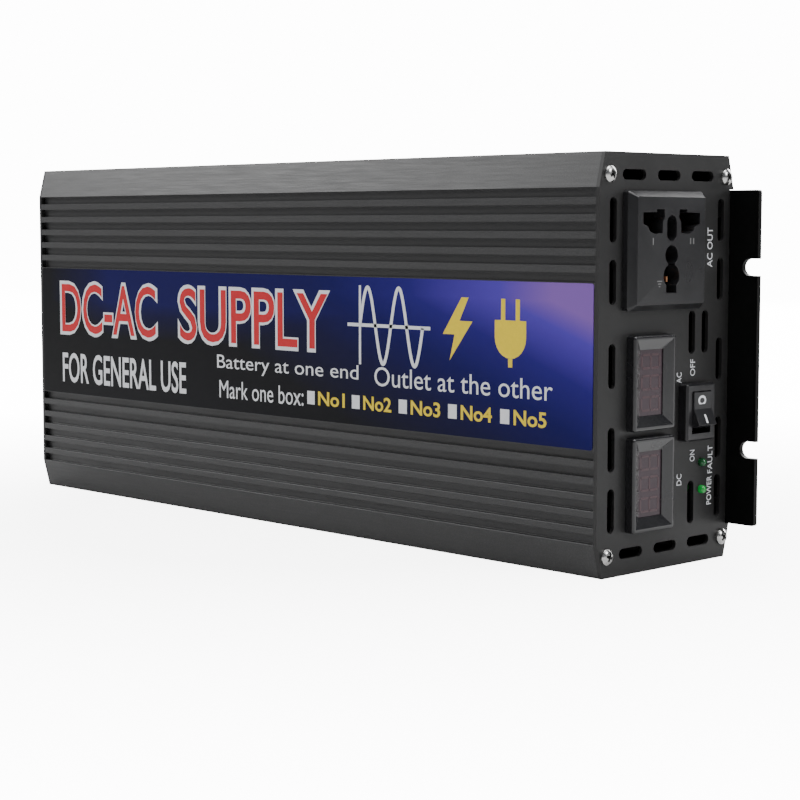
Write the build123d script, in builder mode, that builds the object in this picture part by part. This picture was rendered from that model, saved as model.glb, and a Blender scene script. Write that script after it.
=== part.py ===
from build123d import *
import os
from math import cos, radians, sin

# Power inverter in an extruded aluminium case, standing on its long side.
# X runs along the case: the outlet end is at +X and the battery end at -X.
# Y runs through it: the labelled face is at -Y and the base plate at +Y.
# Z is up. The origin is the middle of the footprint, on the ground.
os.makedirs("parts", exist_ok=True)

# Case
CASE_LENGTH = 336.0
CASE_DEPTH = 74.0
CASE_HEIGHT = 145.0
PANEL_THICK = 1.5
SHOULDER_RUN = 3.0
SHOULDER_RISE = 12.0
LIP_TOP = 22.0
LIP_FACE = 35.0
LIP_INSIDE = 32.5
RIB_PITCH = 5.75
GROOVE_WIDTH = 3.25
FACE_GROOVES = 6
FACE_GROOVE_DEPTH = 2.0
SIDE_GROOVES = 4
SIDE_GROOVE_DEPTH = 1.5
SIDE_BAND = 8.0
RIB_ROUND = 0.3
HALF_LENGTH = CASE_LENGTH / 2
SHELL_END = HALF_LENGTH - PANEL_THICK
HALF_DEPTH = CASE_DEPTH / 2
MID_Z = CASE_HEIGHT / 2

# Base plate with slotted flanges
PLATE_THICK = HALF_DEPTH - LIP_FACE
PLATE_HEIGHT = CASE_HEIGHT - 2 * SHOULDER_RISE - 0.4
FLANGE_LENGTH = 12.5
FLANGE_END = HALF_LENGTH + FLANGE_LENGTH
NOTCH_RADIUS = 3.0
NOTCH_INSET = 3.6
NOTCH_SPREAD = 32.8
PLATE_CORNER = 1.0
STANDOFF_RIVET = 2.1

# Fasteners
BOSS_RADIUS = 3.2
TAP_RADIUS = 1.3
M3_SHANK = 1.25
M3_HEAD = 2.65
M3_HEAD_HEIGHT = 1.9
M3_HEAD_ROUND = 0.9
M3_LENGTH = 10.0
M3_CLEARANCE = 1.7
RECESS_SPAN = 3.0
RECESS_WIDTH = 0.7
RECESS_DEPTH = 1.0
BOARD_HEAD_HEIGHT = 2.2
FLAT_HEAD = 3.05
FLAT_HEAD_DEPTH = 1.7
SHORT_SCREW = 6.0
PANEL_SCREW_Y = 32.0
PANEL_SCREW_Z = 7.6

# Vent slots in the end panels
SLOT_WIDTH = 3.6
SLOT_ROW_LENGTH = 12.4
SLOT_ROW_PITCH = 18.8
SLOT_COLUMN_LENGTH = 15.3
SLOT_COLUMN_Y = 29.7
SLOT_STEPS = (28.5, 49.5)

# Outlet
SOCKET_Y = -4.4
SOCKET_Z = 111.5
SOCKET_BASE = 40.9
SOCKET_FACE = 36.8
SOCKET_STRAIGHT = 2.2
SOCKET_BEVEL = 2.8
SOCKET_CORNER = 1.2
SOCKET_BODY = 36.2
SOCKET_DEPTH = 26.0
CHAMBER_DEPTH = 18.0
CENTRE_CHAMBER_DEPTH = 12.0
PIN_CHAMBER = (12.6, 10.3)
PIN_Y = 9.7
PIN_Z = 9.95
CENTRE_CHAMBER = (5.4, 9.4)
CENTRE_Z = 7.75
EARTH_CHAMBER = (9.8, 17.6)
EARTH_Z = -6.2
CONTACT_THICK = 0.8
CONTACT_WIDTH = 10.0
CONTACT_REACH = 15.0
CONTACT_TAIL = 12.0
TAIL_WIDTH = 6.3

# Digital meters
METER_Y = -10.7
METER_Z = {"ac": 66.2, "dc": 31.05}
METER_WIDTH = 22.5
METER_HEIGHT = 33.0
METER_RISE = 3.7
METER_CORNER = 1.2
METER_ROUND = 0.9
METER_RIM = 1.4
METER_WINDOW_WIDTH = 12.6
METER_WINDOW_HEIGHT = 22.9
METER_GLASS_RISE = 1.4
METER_GLASS = 1.0
METER_GLASS_LAP = 1.0
METER_SILL = 0.4
METER_BODY_WIDTH = 20.6
METER_BODY_HEIGHT = 30.2
METER_BODY_DEPTH = 10.0
METER_BODY_WALL = 1.2
DISPLAY_WIDTH = 14.0
DISPLAY_HEIGHT = 22.5
DISPLAY_DEPTH = 8.0
METER_BOARD_THICK = 1.6
METER_PART_RISE = 4.5

# Rocker switch: the rocker turns on trunnions about an axis along Y
SWITCH_Y = 14.8
SWITCH_Z = 54.4
SWITCH_WIDTH = 16.2
SWITCH_HEIGHT = 20.4
SWITCH_RISE = 4.0
SWITCH_CORNER = 1.0
SWITCH_CHAMFER = 0.7
SWITCH_MOUTH_WIDTH = 10.4
SWITCH_MOUTH_HEIGHT = 15.0
SWITCH_BODY_WIDTH = 13.0
SWITCH_BODY_HEIGHT = 18.8
SWITCH_BODY_DEPTH = 18.0
SWITCH_FLOOR = 1.5
TERMINAL_STEP = 6.1
TERMINAL_TAIL = 9.0
ROCKER_PIVOT_X = HALF_LENGTH - 1.0
ROCKER_TILT = 12.0
ROCKER_WIDTH = 10.0
ROCKER_FOLD = 5.75
ROCKER_TIP = (7.02, 5.97)
ROCKER_SKIRT = (3.0, 6.8)
ROCKER_POCKET = 2.7
ROCKER_POCKET_TOP = 0.5
TRUNNION_RADIUS = 1.0
TRUNNION_REACH = 5.9
LEVER_X = 156.5
LEVER_TILT = 9.0
LEVER_REACH = 5.6
LEVER_THICK = 0.8
LEVER_WIDTH = 4.8
LEVER_KNUCKLE = 0.4
PLUNGER_REACH = 9.4
PLUNGER_RADIUS = 1.3
PLUNGER_TIP = 1.0

# Indicator lamps
LED_Y = 20.0
LED_Z = {"fault": 35.8, "power": 26.1}
LED_RADIUS = 1.5
LED_RISE = 0.8
LED_BASE_RADIUS = 1.9
LED_BASE = SHELL_END - 3.5
LED_LEG_STEP = 0.8
LED_LEG = 6.0

# Fan
FAN_SIZE = 60.0
FAN_DEPTH = 20.0
FAN_BORE = 28.7
FAN_SCREW = 25.0
FAN_CORNER = 4.0
FAN_FLANGE = 4.0
FAN_WALL = 1.25
FAN_HOLE = 2.2
FAN_ARM = (16.5, 3.2)
FAN_ARM_THICK = 2.0
BEARING_RADIUS = 3.4
BEARING_TOP = 13.0
FAN_FRONT = -SHELL_END
FAN_BACK = FAN_FRONT + FAN_DEPTH
FAN_BLADES = 7
BLADE_TIP = 27.9
HUB_RADIUS = 14.0
HUB_WALL = 1.4
HUB_BACK = 2.6
HUB_LENGTH = 15.4
SHAFT_RADIUS = 1.5
GUARD_WIRE = 0.8
GUARD_LIFT = 3.2
GUARD_RINGS = (7, 14, 21, 28.5)
GUARD_BEND = 1.2
EYE_RADIUS = FAN_SCREW * 2**0.5
EYE_LOOP = 3.0
FAN_SCREW_HEAD = 3.6
FAN_SCREW_HEAD_HEIGHT = 2.3
FAN_SCREW_SHANK = 1.9
FAN_SCREW_LENGTH = 28.0
FAN_NUT = 4.0

# Battery terminals
TERMINAL_Z = {"positive": 120.5, "negative": 24.5}
STUD_RADIUS = 4.0
KNOB_RADIUS = 10.5
KNOB_LENGTH = 16.0
KNOB_BORE_DEPTH = 13.0
KNOB_FLUTES = 12
KNOB_BEVEL = 0.8
FLUTE_RADIUS = 2.2
COLLAR_RADIUS = 12.0
COLLAR_THICK = 3.0
COLLAR_INSIDE = (10.0, 2.5)
TERMINAL_HOLE = 6.6
STUD_SHOULDER = 7.5
STUD_INSIDE = 13.0
WASHER_RADIUS = 8.5
TERMINAL_NUT = (7.5, 6.5)
BUSBAR_WIDTH = 14.0
BUSBAR_THICK = 2.0
BUSBAR_END = 122.0
GROUND = (24.0, 108.0)
GROUND_RADIUS = 2.0
GROUND_NUT = (4.6, 3.2)
SHOULDER_THICK = 2.0
WASHER_THICK = 1.6
STACK_GAP = 0.1

# Inside
BOARD_FACE = 26.4
BOARD_THICK = 1.6
BOARD_START = -138.0
BOARD_END = 136.0
BOARD_BOTTOM = 10.0
BOARD_TOP = CASE_HEIGHT - BOARD_BOTTOM
WALL_INSIDE = 3.2
STANDOFFS = [(x, z) for x in (-97, 10, 124) for z in (34, CASE_HEIGHT - 34)]
STANDOFF_HEX = 3.1
TRANSFORMER_X = (-70, -15, 40)
CORE_TALL = 50.0
CORE_DEEP = 40.0
CORE_THICK = 20.0
CORE_WINDOW = (9.0, 34.0)
CORE_LEG = 12.0
CORE_Y = 4.0
WINDING_SIZE = (36.0, 29.4)
WINDING_TALL = 33.6
WINDING_PIN_X = 13.0
WINDING_PIN_Z = (-13, -6.5, 0, 6.5, 13)
WINDING_PIN_LENGTH = 12.0
BAR_THICK = 6.0
BAR_WIDTH = 34.0
BAR_Y = 7.0
BAR_HALF_LENGTH = 100.0
BAR_INNER = WALL_INSIDE + BAR_THICK
TRANSISTORS = 9
TRANSISTOR_PITCH = 22.0
TRANSISTOR_SIZE = (15.8, 20.6, 5.0)
TRANSISTOR_Y = 9.0
TRANSISTOR_HOLE = 1.8
TRANSISTOR_LEG = (1.2, 0.6)
TRANSISTOR_LEG_STEP = 5.4
INPUT_CAPACITOR = (8.0, 30.0)
BULK_CAPACITOR = (15.0, 42.0)
BULK_X = 83.0
BULK_STEP = 21.0
INDUCTOR = (114.0, 72.0)
INDUCTOR_RADII = (14.0, 8.0)
INDUCTOR_THICK = 10.0
INDUCTOR_LIFT = 3.0
INDUCTOR_TURNS = 18
DRIVER_Z = 120.0
DRIVER_X = 91.0
DRIVER_SIZE = (50.0, 28.4)
DRIVER_THICK = 1.2
DRIVER_PARTS = ((78, 12, 11, 10), (92, 8, 8, 6), (104, 14, 12, 8))
FUSE_X = -110.0
FUSE_Z = (112.0, 120.5, 129.0)
FUSE_HOLDER = (19.0, 5.0, 6.0)
FUSE_BLADE = (17.0, 3.6, 9.0)

# Wires: where each starts and how far along the case it drops to the board
AC_LEAD_RADIUS = 1.4
AC_LEAD_DROPS = (119, 128, 125)
PANEL_LEAD_RADIUS = 0.6
PANEL_LEAD_DROP = 131.0
SWITCH_LEAD_DROP = 133.0
METER_LEAD_STEP = 2.5
METER_LEAD_LOW = 8.0
FAN_LEAD_RADIUS = 0.7
FAN_LEAD_STEP = 2.0
FAN_LEAD_Y = 24.0
FAN_LEAD_RISE = 16.5
FAN_LEAD_DROP = -136.6
SWITCH_TAIL = HALF_LENGTH - SWITCH_BODY_DEPTH - TERMINAL_TAIL
LED_TAIL = LED_BASE - LED_LEG
METER_TAIL = (HALF_LENGTH + METER_GLASS_RISE - METER_GLASS - DISPLAY_DEPTH
              - METER_BOARD_THICK - METER_PART_RISE)

# Outline of the case wall below mid height, from the labelled face round to the inside
SHELL_HALF = [
    (-HALF_DEPTH, SHOULDER_RISE),
    (-HALF_DEPTH + SHOULDER_RUN, 0),
    (HALF_DEPTH - SHOULDER_RUN, 0),
    (HALF_DEPTH, SHOULDER_RISE),
    (LIP_FACE, SHOULDER_RISE),
    (LIP_FACE, LIP_TOP),
    (LIP_INSIDE, LIP_TOP),
    (LIP_INSIDE, 14.4),
    (31.2, WALL_INSIDE),
    (-31.0, WALL_INSIDE),
    (-33.4, 12.7),
]

# Outline of an end panel below mid height; its back edge clears the base plate
PANEL_HALF = [
    (-HALF_DEPTH, SHOULDER_RISE),
    (-HALF_DEPTH + SHOULDER_RUN, 0),
    (HALF_DEPTH - SHOULDER_RUN, 0),
    (HALF_DEPTH, SHOULDER_RISE),
    (LIP_FACE - 0.1, SHOULDER_RISE),
]

OUTLET_END = Plane.YZ.offset(HALF_LENGTH)
SOCKET_FRONT = OUTLET_END.shift_origin((HALF_LENGTH, SOCKET_Y, SOCKET_Z))
SWITCH_FRONT = OUTLET_END.shift_origin((HALF_LENGTH, SWITCH_Y, SWITCH_Z))
BATTERY_END = Plane(origin=(-HALF_LENGTH, 0, 0), x_dir=(0, -1, 0), z_dir=(-1, 0, 0))
FAN_AXIS = Plane(origin=(FAN_BACK, 0, MID_Z), x_dir=(0, -1, 0), z_dir=(-1, 0, 0))
GUARD_AXIS = Plane(origin=(-HALF_LENGTH, 0, MID_Z), x_dir=(0, -1, 0), z_dir=(-1, 0, 0))
REAR_FACE = Plane(origin=(0, HALF_DEPTH, 0), x_dir=(-1, 0, 0), z_dir=(0, 1, 0))
BOARD_PLANE = Plane.XZ.offset(-BOARD_FACE)

PANEL_SCREWS = [(y, z) for y in (-PANEL_SCREW_Y, PANEL_SCREW_Y)
                for z in (PANEL_SCREW_Z, CASE_HEIGHT - PANEL_SCREW_Z)]
BASE_SCREWS = [(x, z) for x in (-120, 0, 120) for z in (17.2, CASE_HEIGHT - 17.2)]
FAN_CORNERS = [(y, z) for y in (-FAN_SCREW, FAN_SCREW) for z in (-FAN_SCREW, FAN_SCREW)]
ROW_SLOTS = [(y, z) for y in (-SLOT_ROW_PITCH, 0, SLOT_ROW_PITCH)
             for z in (PANEL_SCREW_Z, CASE_HEIGHT - PANEL_SCREW_Z)]
CORNER_SLOTS = [(y, MID_Z + z) for y in (-SLOT_COLUMN_Y, SLOT_COLUMN_Y)
                for z in (-SLOT_STEPS[1], SLOT_STEPS[1])]
MIDDLE_SLOTS = [(y, MID_Z + z) for y in (-SLOT_COLUMN_Y, SLOT_COLUMN_Y)
                for z in (-SLOT_STEPS[0], 0, SLOT_STEPS[0])]
EXTRA_SLOTS = [(13.8, 82.5), (21.3, 82.5), (14.2, 21.9)]


def whole(half_outline):
    """Close an outline given below mid height with its mirror image above it."""
    return half_outline + [(y, CASE_HEIGHT - z) for y, z in reversed(half_outline)]


def along(start, end):
    """Align a cylinder of the right length between two heights on its own axis."""
    return dict(height=end - start, align=(Align.CENTER, Align.CENTER, Align.MIN))


LEFT_PIN_HOLE = [
    (-15.5, 13.1), (-8.3, 13.2), (-8.3, 14.2), (-4.2, 14.2), (-3.9, 11.5), (-5.0, 9.8),
    (-5.2, 6), (-9.2, 5.7), (-11.9, 6.7), (-13.0, 8.4), (-15.4, 9.1),
]
RIGHT_PIN_HOLE = [(-y, z) for y, z in reversed(LEFT_PIN_HOLE)]

# Chambers behind the openings: centre, width, height and depth from the panel face
CHAMBERS = [(-PIN_Y, PIN_Z, *PIN_CHAMBER, CHAMBER_DEPTH), (PIN_Y, PIN_Z, *PIN_CHAMBER, CHAMBER_DEPTH),
            (0, CENTRE_Z, *CENTRE_CHAMBER, CENTRE_CHAMBER_DEPTH),
            (0, EARTH_Z, *EARTH_CHAMBER, CHAMBER_DEPTH)]
CONTACT_SLITS = [(-PIN_Y, PIN_Z), (PIN_Y, PIN_Z), (0, EARTH_Z)]

PANEL_LEADS = [((SWITCH_TAIL, SWITCH_Y, SWITCH_Z + step), SWITCH_LEAD_DROP) for step in (0, TERMINAL_STEP)]
PANEL_LEADS += [((LED_TAIL, LED_Y + step, z), PANEL_LEAD_DROP + step)
                for z in LED_Z.values() for step in (-LED_LEG_STEP, LED_LEG_STEP)]
PANEL_LEADS += [((METER_TAIL, METER_Y + step, z - METER_LEAD_LOW), PANEL_LEAD_DROP + step)
                for z in METER_Z.values() for step in (-METER_LEAD_STEP, 0, METER_LEAD_STEP)]

# ---------------------------------------------------------------- templates
with BuildPart() as pan_screw:
    Cylinder(M3_HEAD, **along(0, M3_HEAD_HEIGHT))
    fillet(pan_screw.edges().filter_by(GeomType.CIRCLE).group_by(Axis.Z)[-1], M3_HEAD_ROUND)
    with Locations((0, 0, M3_HEAD_HEIGHT)):
        Box(RECESS_SPAN, RECESS_WIDTH, 2 * RECESS_DEPTH, mode=Mode.SUBTRACT)
        Box(RECESS_WIDTH, RECESS_SPAN, 2 * RECESS_DEPTH, mode=Mode.SUBTRACT)
    with Locations((0, 0, -M3_LENGTH)):
        Cylinder(M3_SHANK, **along(-M3_LENGTH, 0))

with BuildPart() as board_screw:
    Cylinder(M3_HEAD, **along(0, BOARD_HEAD_HEIGHT))
    with Locations((0, 0, BOARD_HEAD_HEIGHT)):
        Box(RECESS_SPAN, RECESS_WIDTH, 2 * RECESS_DEPTH, mode=Mode.SUBTRACT)
        Box(RECESS_WIDTH, RECESS_SPAN, 2 * RECESS_DEPTH, mode=Mode.SUBTRACT)
    with Locations((0, 0, -SHORT_SCREW)):
        Cylinder(M3_SHANK, **along(-SHORT_SCREW, 0))

with BuildPart() as flat_screw:
    with Locations((0, 0, -FLAT_HEAD_DEPTH)):
        Cone(M3_SHANK + 0.1, FLAT_HEAD, FLAT_HEAD_DEPTH, align=(Align.CENTER, Align.CENTER, Align.MIN))
    Box(RECESS_SPAN, RECESS_WIDTH, 2 * RECESS_DEPTH, mode=Mode.SUBTRACT)
    Box(RECESS_WIDTH, RECESS_SPAN, 2 * RECESS_DEPTH, mode=Mode.SUBTRACT)
    with Locations((0, 0, -SHORT_SCREW)):
        Cylinder(M3_SHANK, **along(-SHORT_SCREW, -FLAT_HEAD_DEPTH))

# ---------------------------------------------------------------- case
with BuildPart() as case_shell:
    with BuildSketch(Plane.YZ.offset(-SHELL_END)) as shell_profile:
        with BuildLine():
            Polyline(*whole(SHELL_HALF), close=True)
        make_face()
        for i in range(FACE_GROOVES):
            groove_z = SHOULDER_RISE + i * RIB_PITCH + GROOVE_WIDTH / 2
            with Locations((-HALF_DEPTH, groove_z), (-HALF_DEPTH, CASE_HEIGHT - groove_z)):
                Rectangle(2 * FACE_GROOVE_DEPTH, GROOVE_WIDTH, mode=Mode.SUBTRACT)
        for i in range(SIDE_GROOVES):
            groove_y = SIDE_BAND + i * RIB_PITCH + GROOVE_WIDTH / 2
            with Locations((groove_y, 0), (-groove_y, 0),
                           (groove_y, CASE_HEIGHT), (-groove_y, CASE_HEIGHT)):
                Rectangle(GROOVE_WIDTH, 2 * SIDE_GROOVE_DEPTH, mode=Mode.SUBTRACT)
        fillet(shell_profile.vertices().filter_by_position(Axis.Y, -HALF_DEPTH, LIP_INSIDE - 1), RIB_ROUND)
        with Locations(*PANEL_SCREWS):
            Circle(BOSS_RADIUS)
            Circle(TAP_RADIUS, mode=Mode.SUBTRACT)
    extrude(amount=2 * SHELL_END)
    with BuildSketch(Plane.XZ.offset(-LIP_FACE)):
        with Locations(*BASE_SCREWS):
            Circle(TAP_RADIUS)
    extrude(amount=LIP_FACE - LIP_INSIDE + 1, mode=Mode.SUBTRACT)
case_shell.part.label = "case_shell"
export_step(case_shell.part, "parts/case_shell.step")

with BuildPart() as base_plate:
    with BuildSketch(Plane.XZ.offset(-HALF_DEPTH)):
        with Locations((0, MID_Z)):
            RectangleRounded(2 * FLANGE_END, PLATE_HEIGHT, PLATE_CORNER)
        for side in (-1, 1):
            for step in (-NOTCH_SPREAD, NOTCH_SPREAD):
                with Locations((side * (FLANGE_END - NOTCH_INSET), MID_Z + step)):
                    Circle(NOTCH_RADIUS, mode=Mode.SUBTRACT)
                with Locations((side * FLANGE_END, MID_Z + step)):
                    Rectangle(2 * NOTCH_INSET, 2 * NOTCH_RADIUS, mode=Mode.SUBTRACT)
        with Locations(*STANDOFFS):
            Circle(STANDOFF_RIVET, mode=Mode.SUBTRACT)
    extrude(amount=PLATE_THICK)
    with Locations(REAR_FACE):
        with Locations(*BASE_SCREWS):
            CounterSinkHole(radius=M3_CLEARANCE, counter_sink_radius=FLAT_HEAD + 0.15, depth=PLATE_THICK)
base_plate.part.label = "base_plate"
export_step(base_plate.part, "parts/base_plate.step")

with BuildPart() as base_screws:
    with Locations(REAR_FACE):
        with Locations(*BASE_SCREWS):
            add(flat_screw.part)
base_screws.part.label = "base_screws"
export_step(base_screws.part, "parts/base_screws.step")

with BuildPart() as ac_panel:
    with BuildSketch(Plane.YZ.offset(SHELL_END)):
        with BuildLine():
            Polyline(*whole(PANEL_HALF), close=True)
        make_face()
        with Locations(*PANEL_SCREWS):
            Circle(M3_CLEARANCE, mode=Mode.SUBTRACT)
        with Locations(*ROW_SLOTS):
            SlotOverall(SLOT_ROW_LENGTH, SLOT_WIDTH, mode=Mode.SUBTRACT)
        with Locations(*CORNER_SLOTS, *MIDDLE_SLOTS, *EXTRA_SLOTS):
            SlotOverall(SLOT_COLUMN_LENGTH, SLOT_WIDTH, rotation=90, mode=Mode.SUBTRACT)
        with Locations((SOCKET_Y, SOCKET_Z)):
            Rectangle(SOCKET_BODY + 0.4, SOCKET_BODY + 0.4, mode=Mode.SUBTRACT)
        with Locations(*[(METER_Y, z) for z in METER_Z.values()]):
            Rectangle(METER_BODY_WIDTH + 0.3, METER_BODY_HEIGHT + 0.3, mode=Mode.SUBTRACT)
        with Locations((SWITCH_Y, SWITCH_Z)):
            Rectangle(SWITCH_BODY_WIDTH + 0.2, SWITCH_BODY_HEIGHT + 0.2, mode=Mode.SUBTRACT)
        with Locations(*[(LED_Y, z) for z in LED_Z.values()]):
            Circle(LED_RADIUS + 0.05, mode=Mode.SUBTRACT)
    extrude(amount=PANEL_THICK)
ac_panel.part.label = "ac_panel"
export_step(ac_panel.part, "parts/ac_panel.step")

with BuildPart() as dc_panel:
    with BuildSketch(Plane.YZ.offset(-HALF_LENGTH)):
        with BuildLine():
            Polyline(*whole(PANEL_HALF), close=True)
        make_face()
        with Locations(*PANEL_SCREWS):
            Circle(M3_CLEARANCE, mode=Mode.SUBTRACT)
        with Locations(*ROW_SLOTS):
            SlotOverall(SLOT_ROW_LENGTH, SLOT_WIDTH, mode=Mode.SUBTRACT)
        with Locations(*CORNER_SLOTS):
            SlotOverall(SLOT_COLUMN_LENGTH, SLOT_WIDTH, rotation=90, mode=Mode.SUBTRACT)
        with Locations((0, MID_Z)):
            Circle(FAN_BORE, mode=Mode.SUBTRACT)
        with Locations(*[(y, MID_Z + z) for y, z in FAN_CORNERS]):
            Circle(FAN_HOLE, mode=Mode.SUBTRACT)
        with Locations(*[(0, z) for z in TERMINAL_Z.values()]):
            Circle(TERMINAL_HOLE, mode=Mode.SUBTRACT)
        with Locations(GROUND):
            Circle(GROUND_RADIUS + 0.1, mode=Mode.SUBTRACT)
    extrude(amount=PANEL_THICK)
dc_panel.part.label = "dc_panel"
export_step(dc_panel.part, "parts/dc_panel.step")

with BuildPart() as ac_panel_screws:
    with Locations(OUTLET_END):
        with Locations(*PANEL_SCREWS):
            add(pan_screw.part)
ac_panel_screws.part.label = "ac_panel_screws"
export_step(ac_panel_screws.part, "parts/ac_panel_screws.step")

with BuildPart() as dc_panel_screws:
    with Locations(BATTERY_END):
        with Locations(*PANEL_SCREWS):
            add(pan_screw.part)
dc_panel_screws.part.label = "dc_panel_screws"
export_step(dc_panel_screws.part, "parts/dc_panel_screws.step")

with BuildPart() as front_label:
    with BuildSketch(Plane.XZ.offset(HALF_DEPTH)):
        with Locations((0, MID_Z)):
            RectangleRounded(332, 56.4, 1)
    extrude(amount=0.25)
front_label.part.label = "front_label"
export_step(front_label.part, "parts/front_label.step")


# ---------------------------------------------------------------- outlet
def socket_hole_faces():
    """Draw the four openings of the outlet about its centre."""
    Polygon(*LEFT_PIN_HOLE, align=None)
    Polygon(*RIGHT_PIN_HOLE, align=None)
    with Locations((0, CENTRE_Z)):
        SlotOverall(8.9, 5.2, rotation=90)
    with Locations((0, -1.5)):
        Circle(3.4)
    with Locations((0, -5)):
        Rectangle(3.6, 4)
    with Locations((0, -8.7)):
        Circle(4.25)
    with Locations((0, -11.6)):
        Rectangle(5.5, 5.8)


with BuildPart() as socket_cover:
    with BuildSketch(SOCKET_FRONT):
        RectangleRounded(SOCKET_BASE, SOCKET_BASE, SOCKET_CORNER)
    extrude(amount=SOCKET_STRAIGHT)
    with BuildSketch(SOCKET_FRONT.offset(SOCKET_STRAIGHT)):
        RectangleRounded(SOCKET_BASE, SOCKET_BASE, SOCKET_CORNER)
    with BuildSketch(SOCKET_FRONT.offset(SOCKET_STRAIGHT + SOCKET_BEVEL)):
        RectangleRounded(SOCKET_FACE, SOCKET_FACE, SOCKET_CORNER / 2)
    loft()
    with BuildSketch(SOCKET_FRONT):
        socket_hole_faces()
    extrude(amount=SOCKET_STRAIGHT + SOCKET_BEVEL, mode=Mode.SUBTRACT)
socket_cover.part.label = "socket_cover"
export_step(socket_cover.part, "parts/socket_cover.step")

with BuildPart() as socket_body:
    with BuildSketch(SOCKET_FRONT):
        Rectangle(SOCKET_BODY, SOCKET_BODY)
    extrude(amount=-SOCKET_DEPTH)
    for y, z, width, height, depth in CHAMBERS:
        with BuildSketch(SOCKET_FRONT):
            with Locations((y, z)):
                Rectangle(width, height)
        extrude(amount=-depth, mode=Mode.SUBTRACT)
    with BuildSketch(SOCKET_FRONT.offset(-SOCKET_DEPTH)):
        with Locations(*CONTACT_SLITS):
            Rectangle(CONTACT_THICK + 0.2, TAIL_WIDTH + 0.2)
    extrude(amount=SOCKET_DEPTH - CHAMBER_DEPTH, mode=Mode.SUBTRACT)
socket_body.part.label = "socket_body"
export_step(socket_body.part, "parts/socket_body.step")

CONTACT_BACK = SOCKET_FRONT.offset(-CHAMBER_DEPTH)
pin_leaf_z = (PIN_CHAMBER[1] - CONTACT_THICK - 0.1) / 2
earth_leaf_y = (EARTH_CHAMBER[0] - CONTACT_THICK - 0.1) / 2
PIN_LEAVES = [(side * PIN_Y, PIN_Z + step) for side in (-1, 1) for step in (-pin_leaf_z, pin_leaf_z)]

# Each contact is a folded strip: a back, two leaves along the chamber's sides and a tail
with BuildPart() as socket_contacts:
    with BuildSketch(CONTACT_BACK):
        with Locations((-PIN_Y, PIN_Z), (PIN_Y, PIN_Z)):
            Rectangle(CONTACT_WIDTH, 2 * pin_leaf_z + CONTACT_THICK)
        with Locations((0, EARTH_Z)):
            Rectangle(2 * earth_leaf_y + CONTACT_THICK, CONTACT_WIDTH)
    extrude(amount=CONTACT_THICK)
    with BuildSketch(CONTACT_BACK):
        with Locations(*PIN_LEAVES):
            Rectangle(CONTACT_WIDTH, CONTACT_THICK)
        with Locations((-earth_leaf_y, EARTH_Z), (earth_leaf_y, EARTH_Z)):
            Rectangle(CONTACT_THICK, CONTACT_WIDTH)
    extrude(amount=CONTACT_REACH)
    with BuildSketch(CONTACT_BACK):
        with Locations(*CONTACT_SLITS):
            Rectangle(CONTACT_THICK, TAIL_WIDTH)
    extrude(amount=-CONTACT_TAIL)
socket_contacts.part.label = "socket_contacts"
export_step(socket_contacts.part, "parts/socket_contacts.step")

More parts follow.
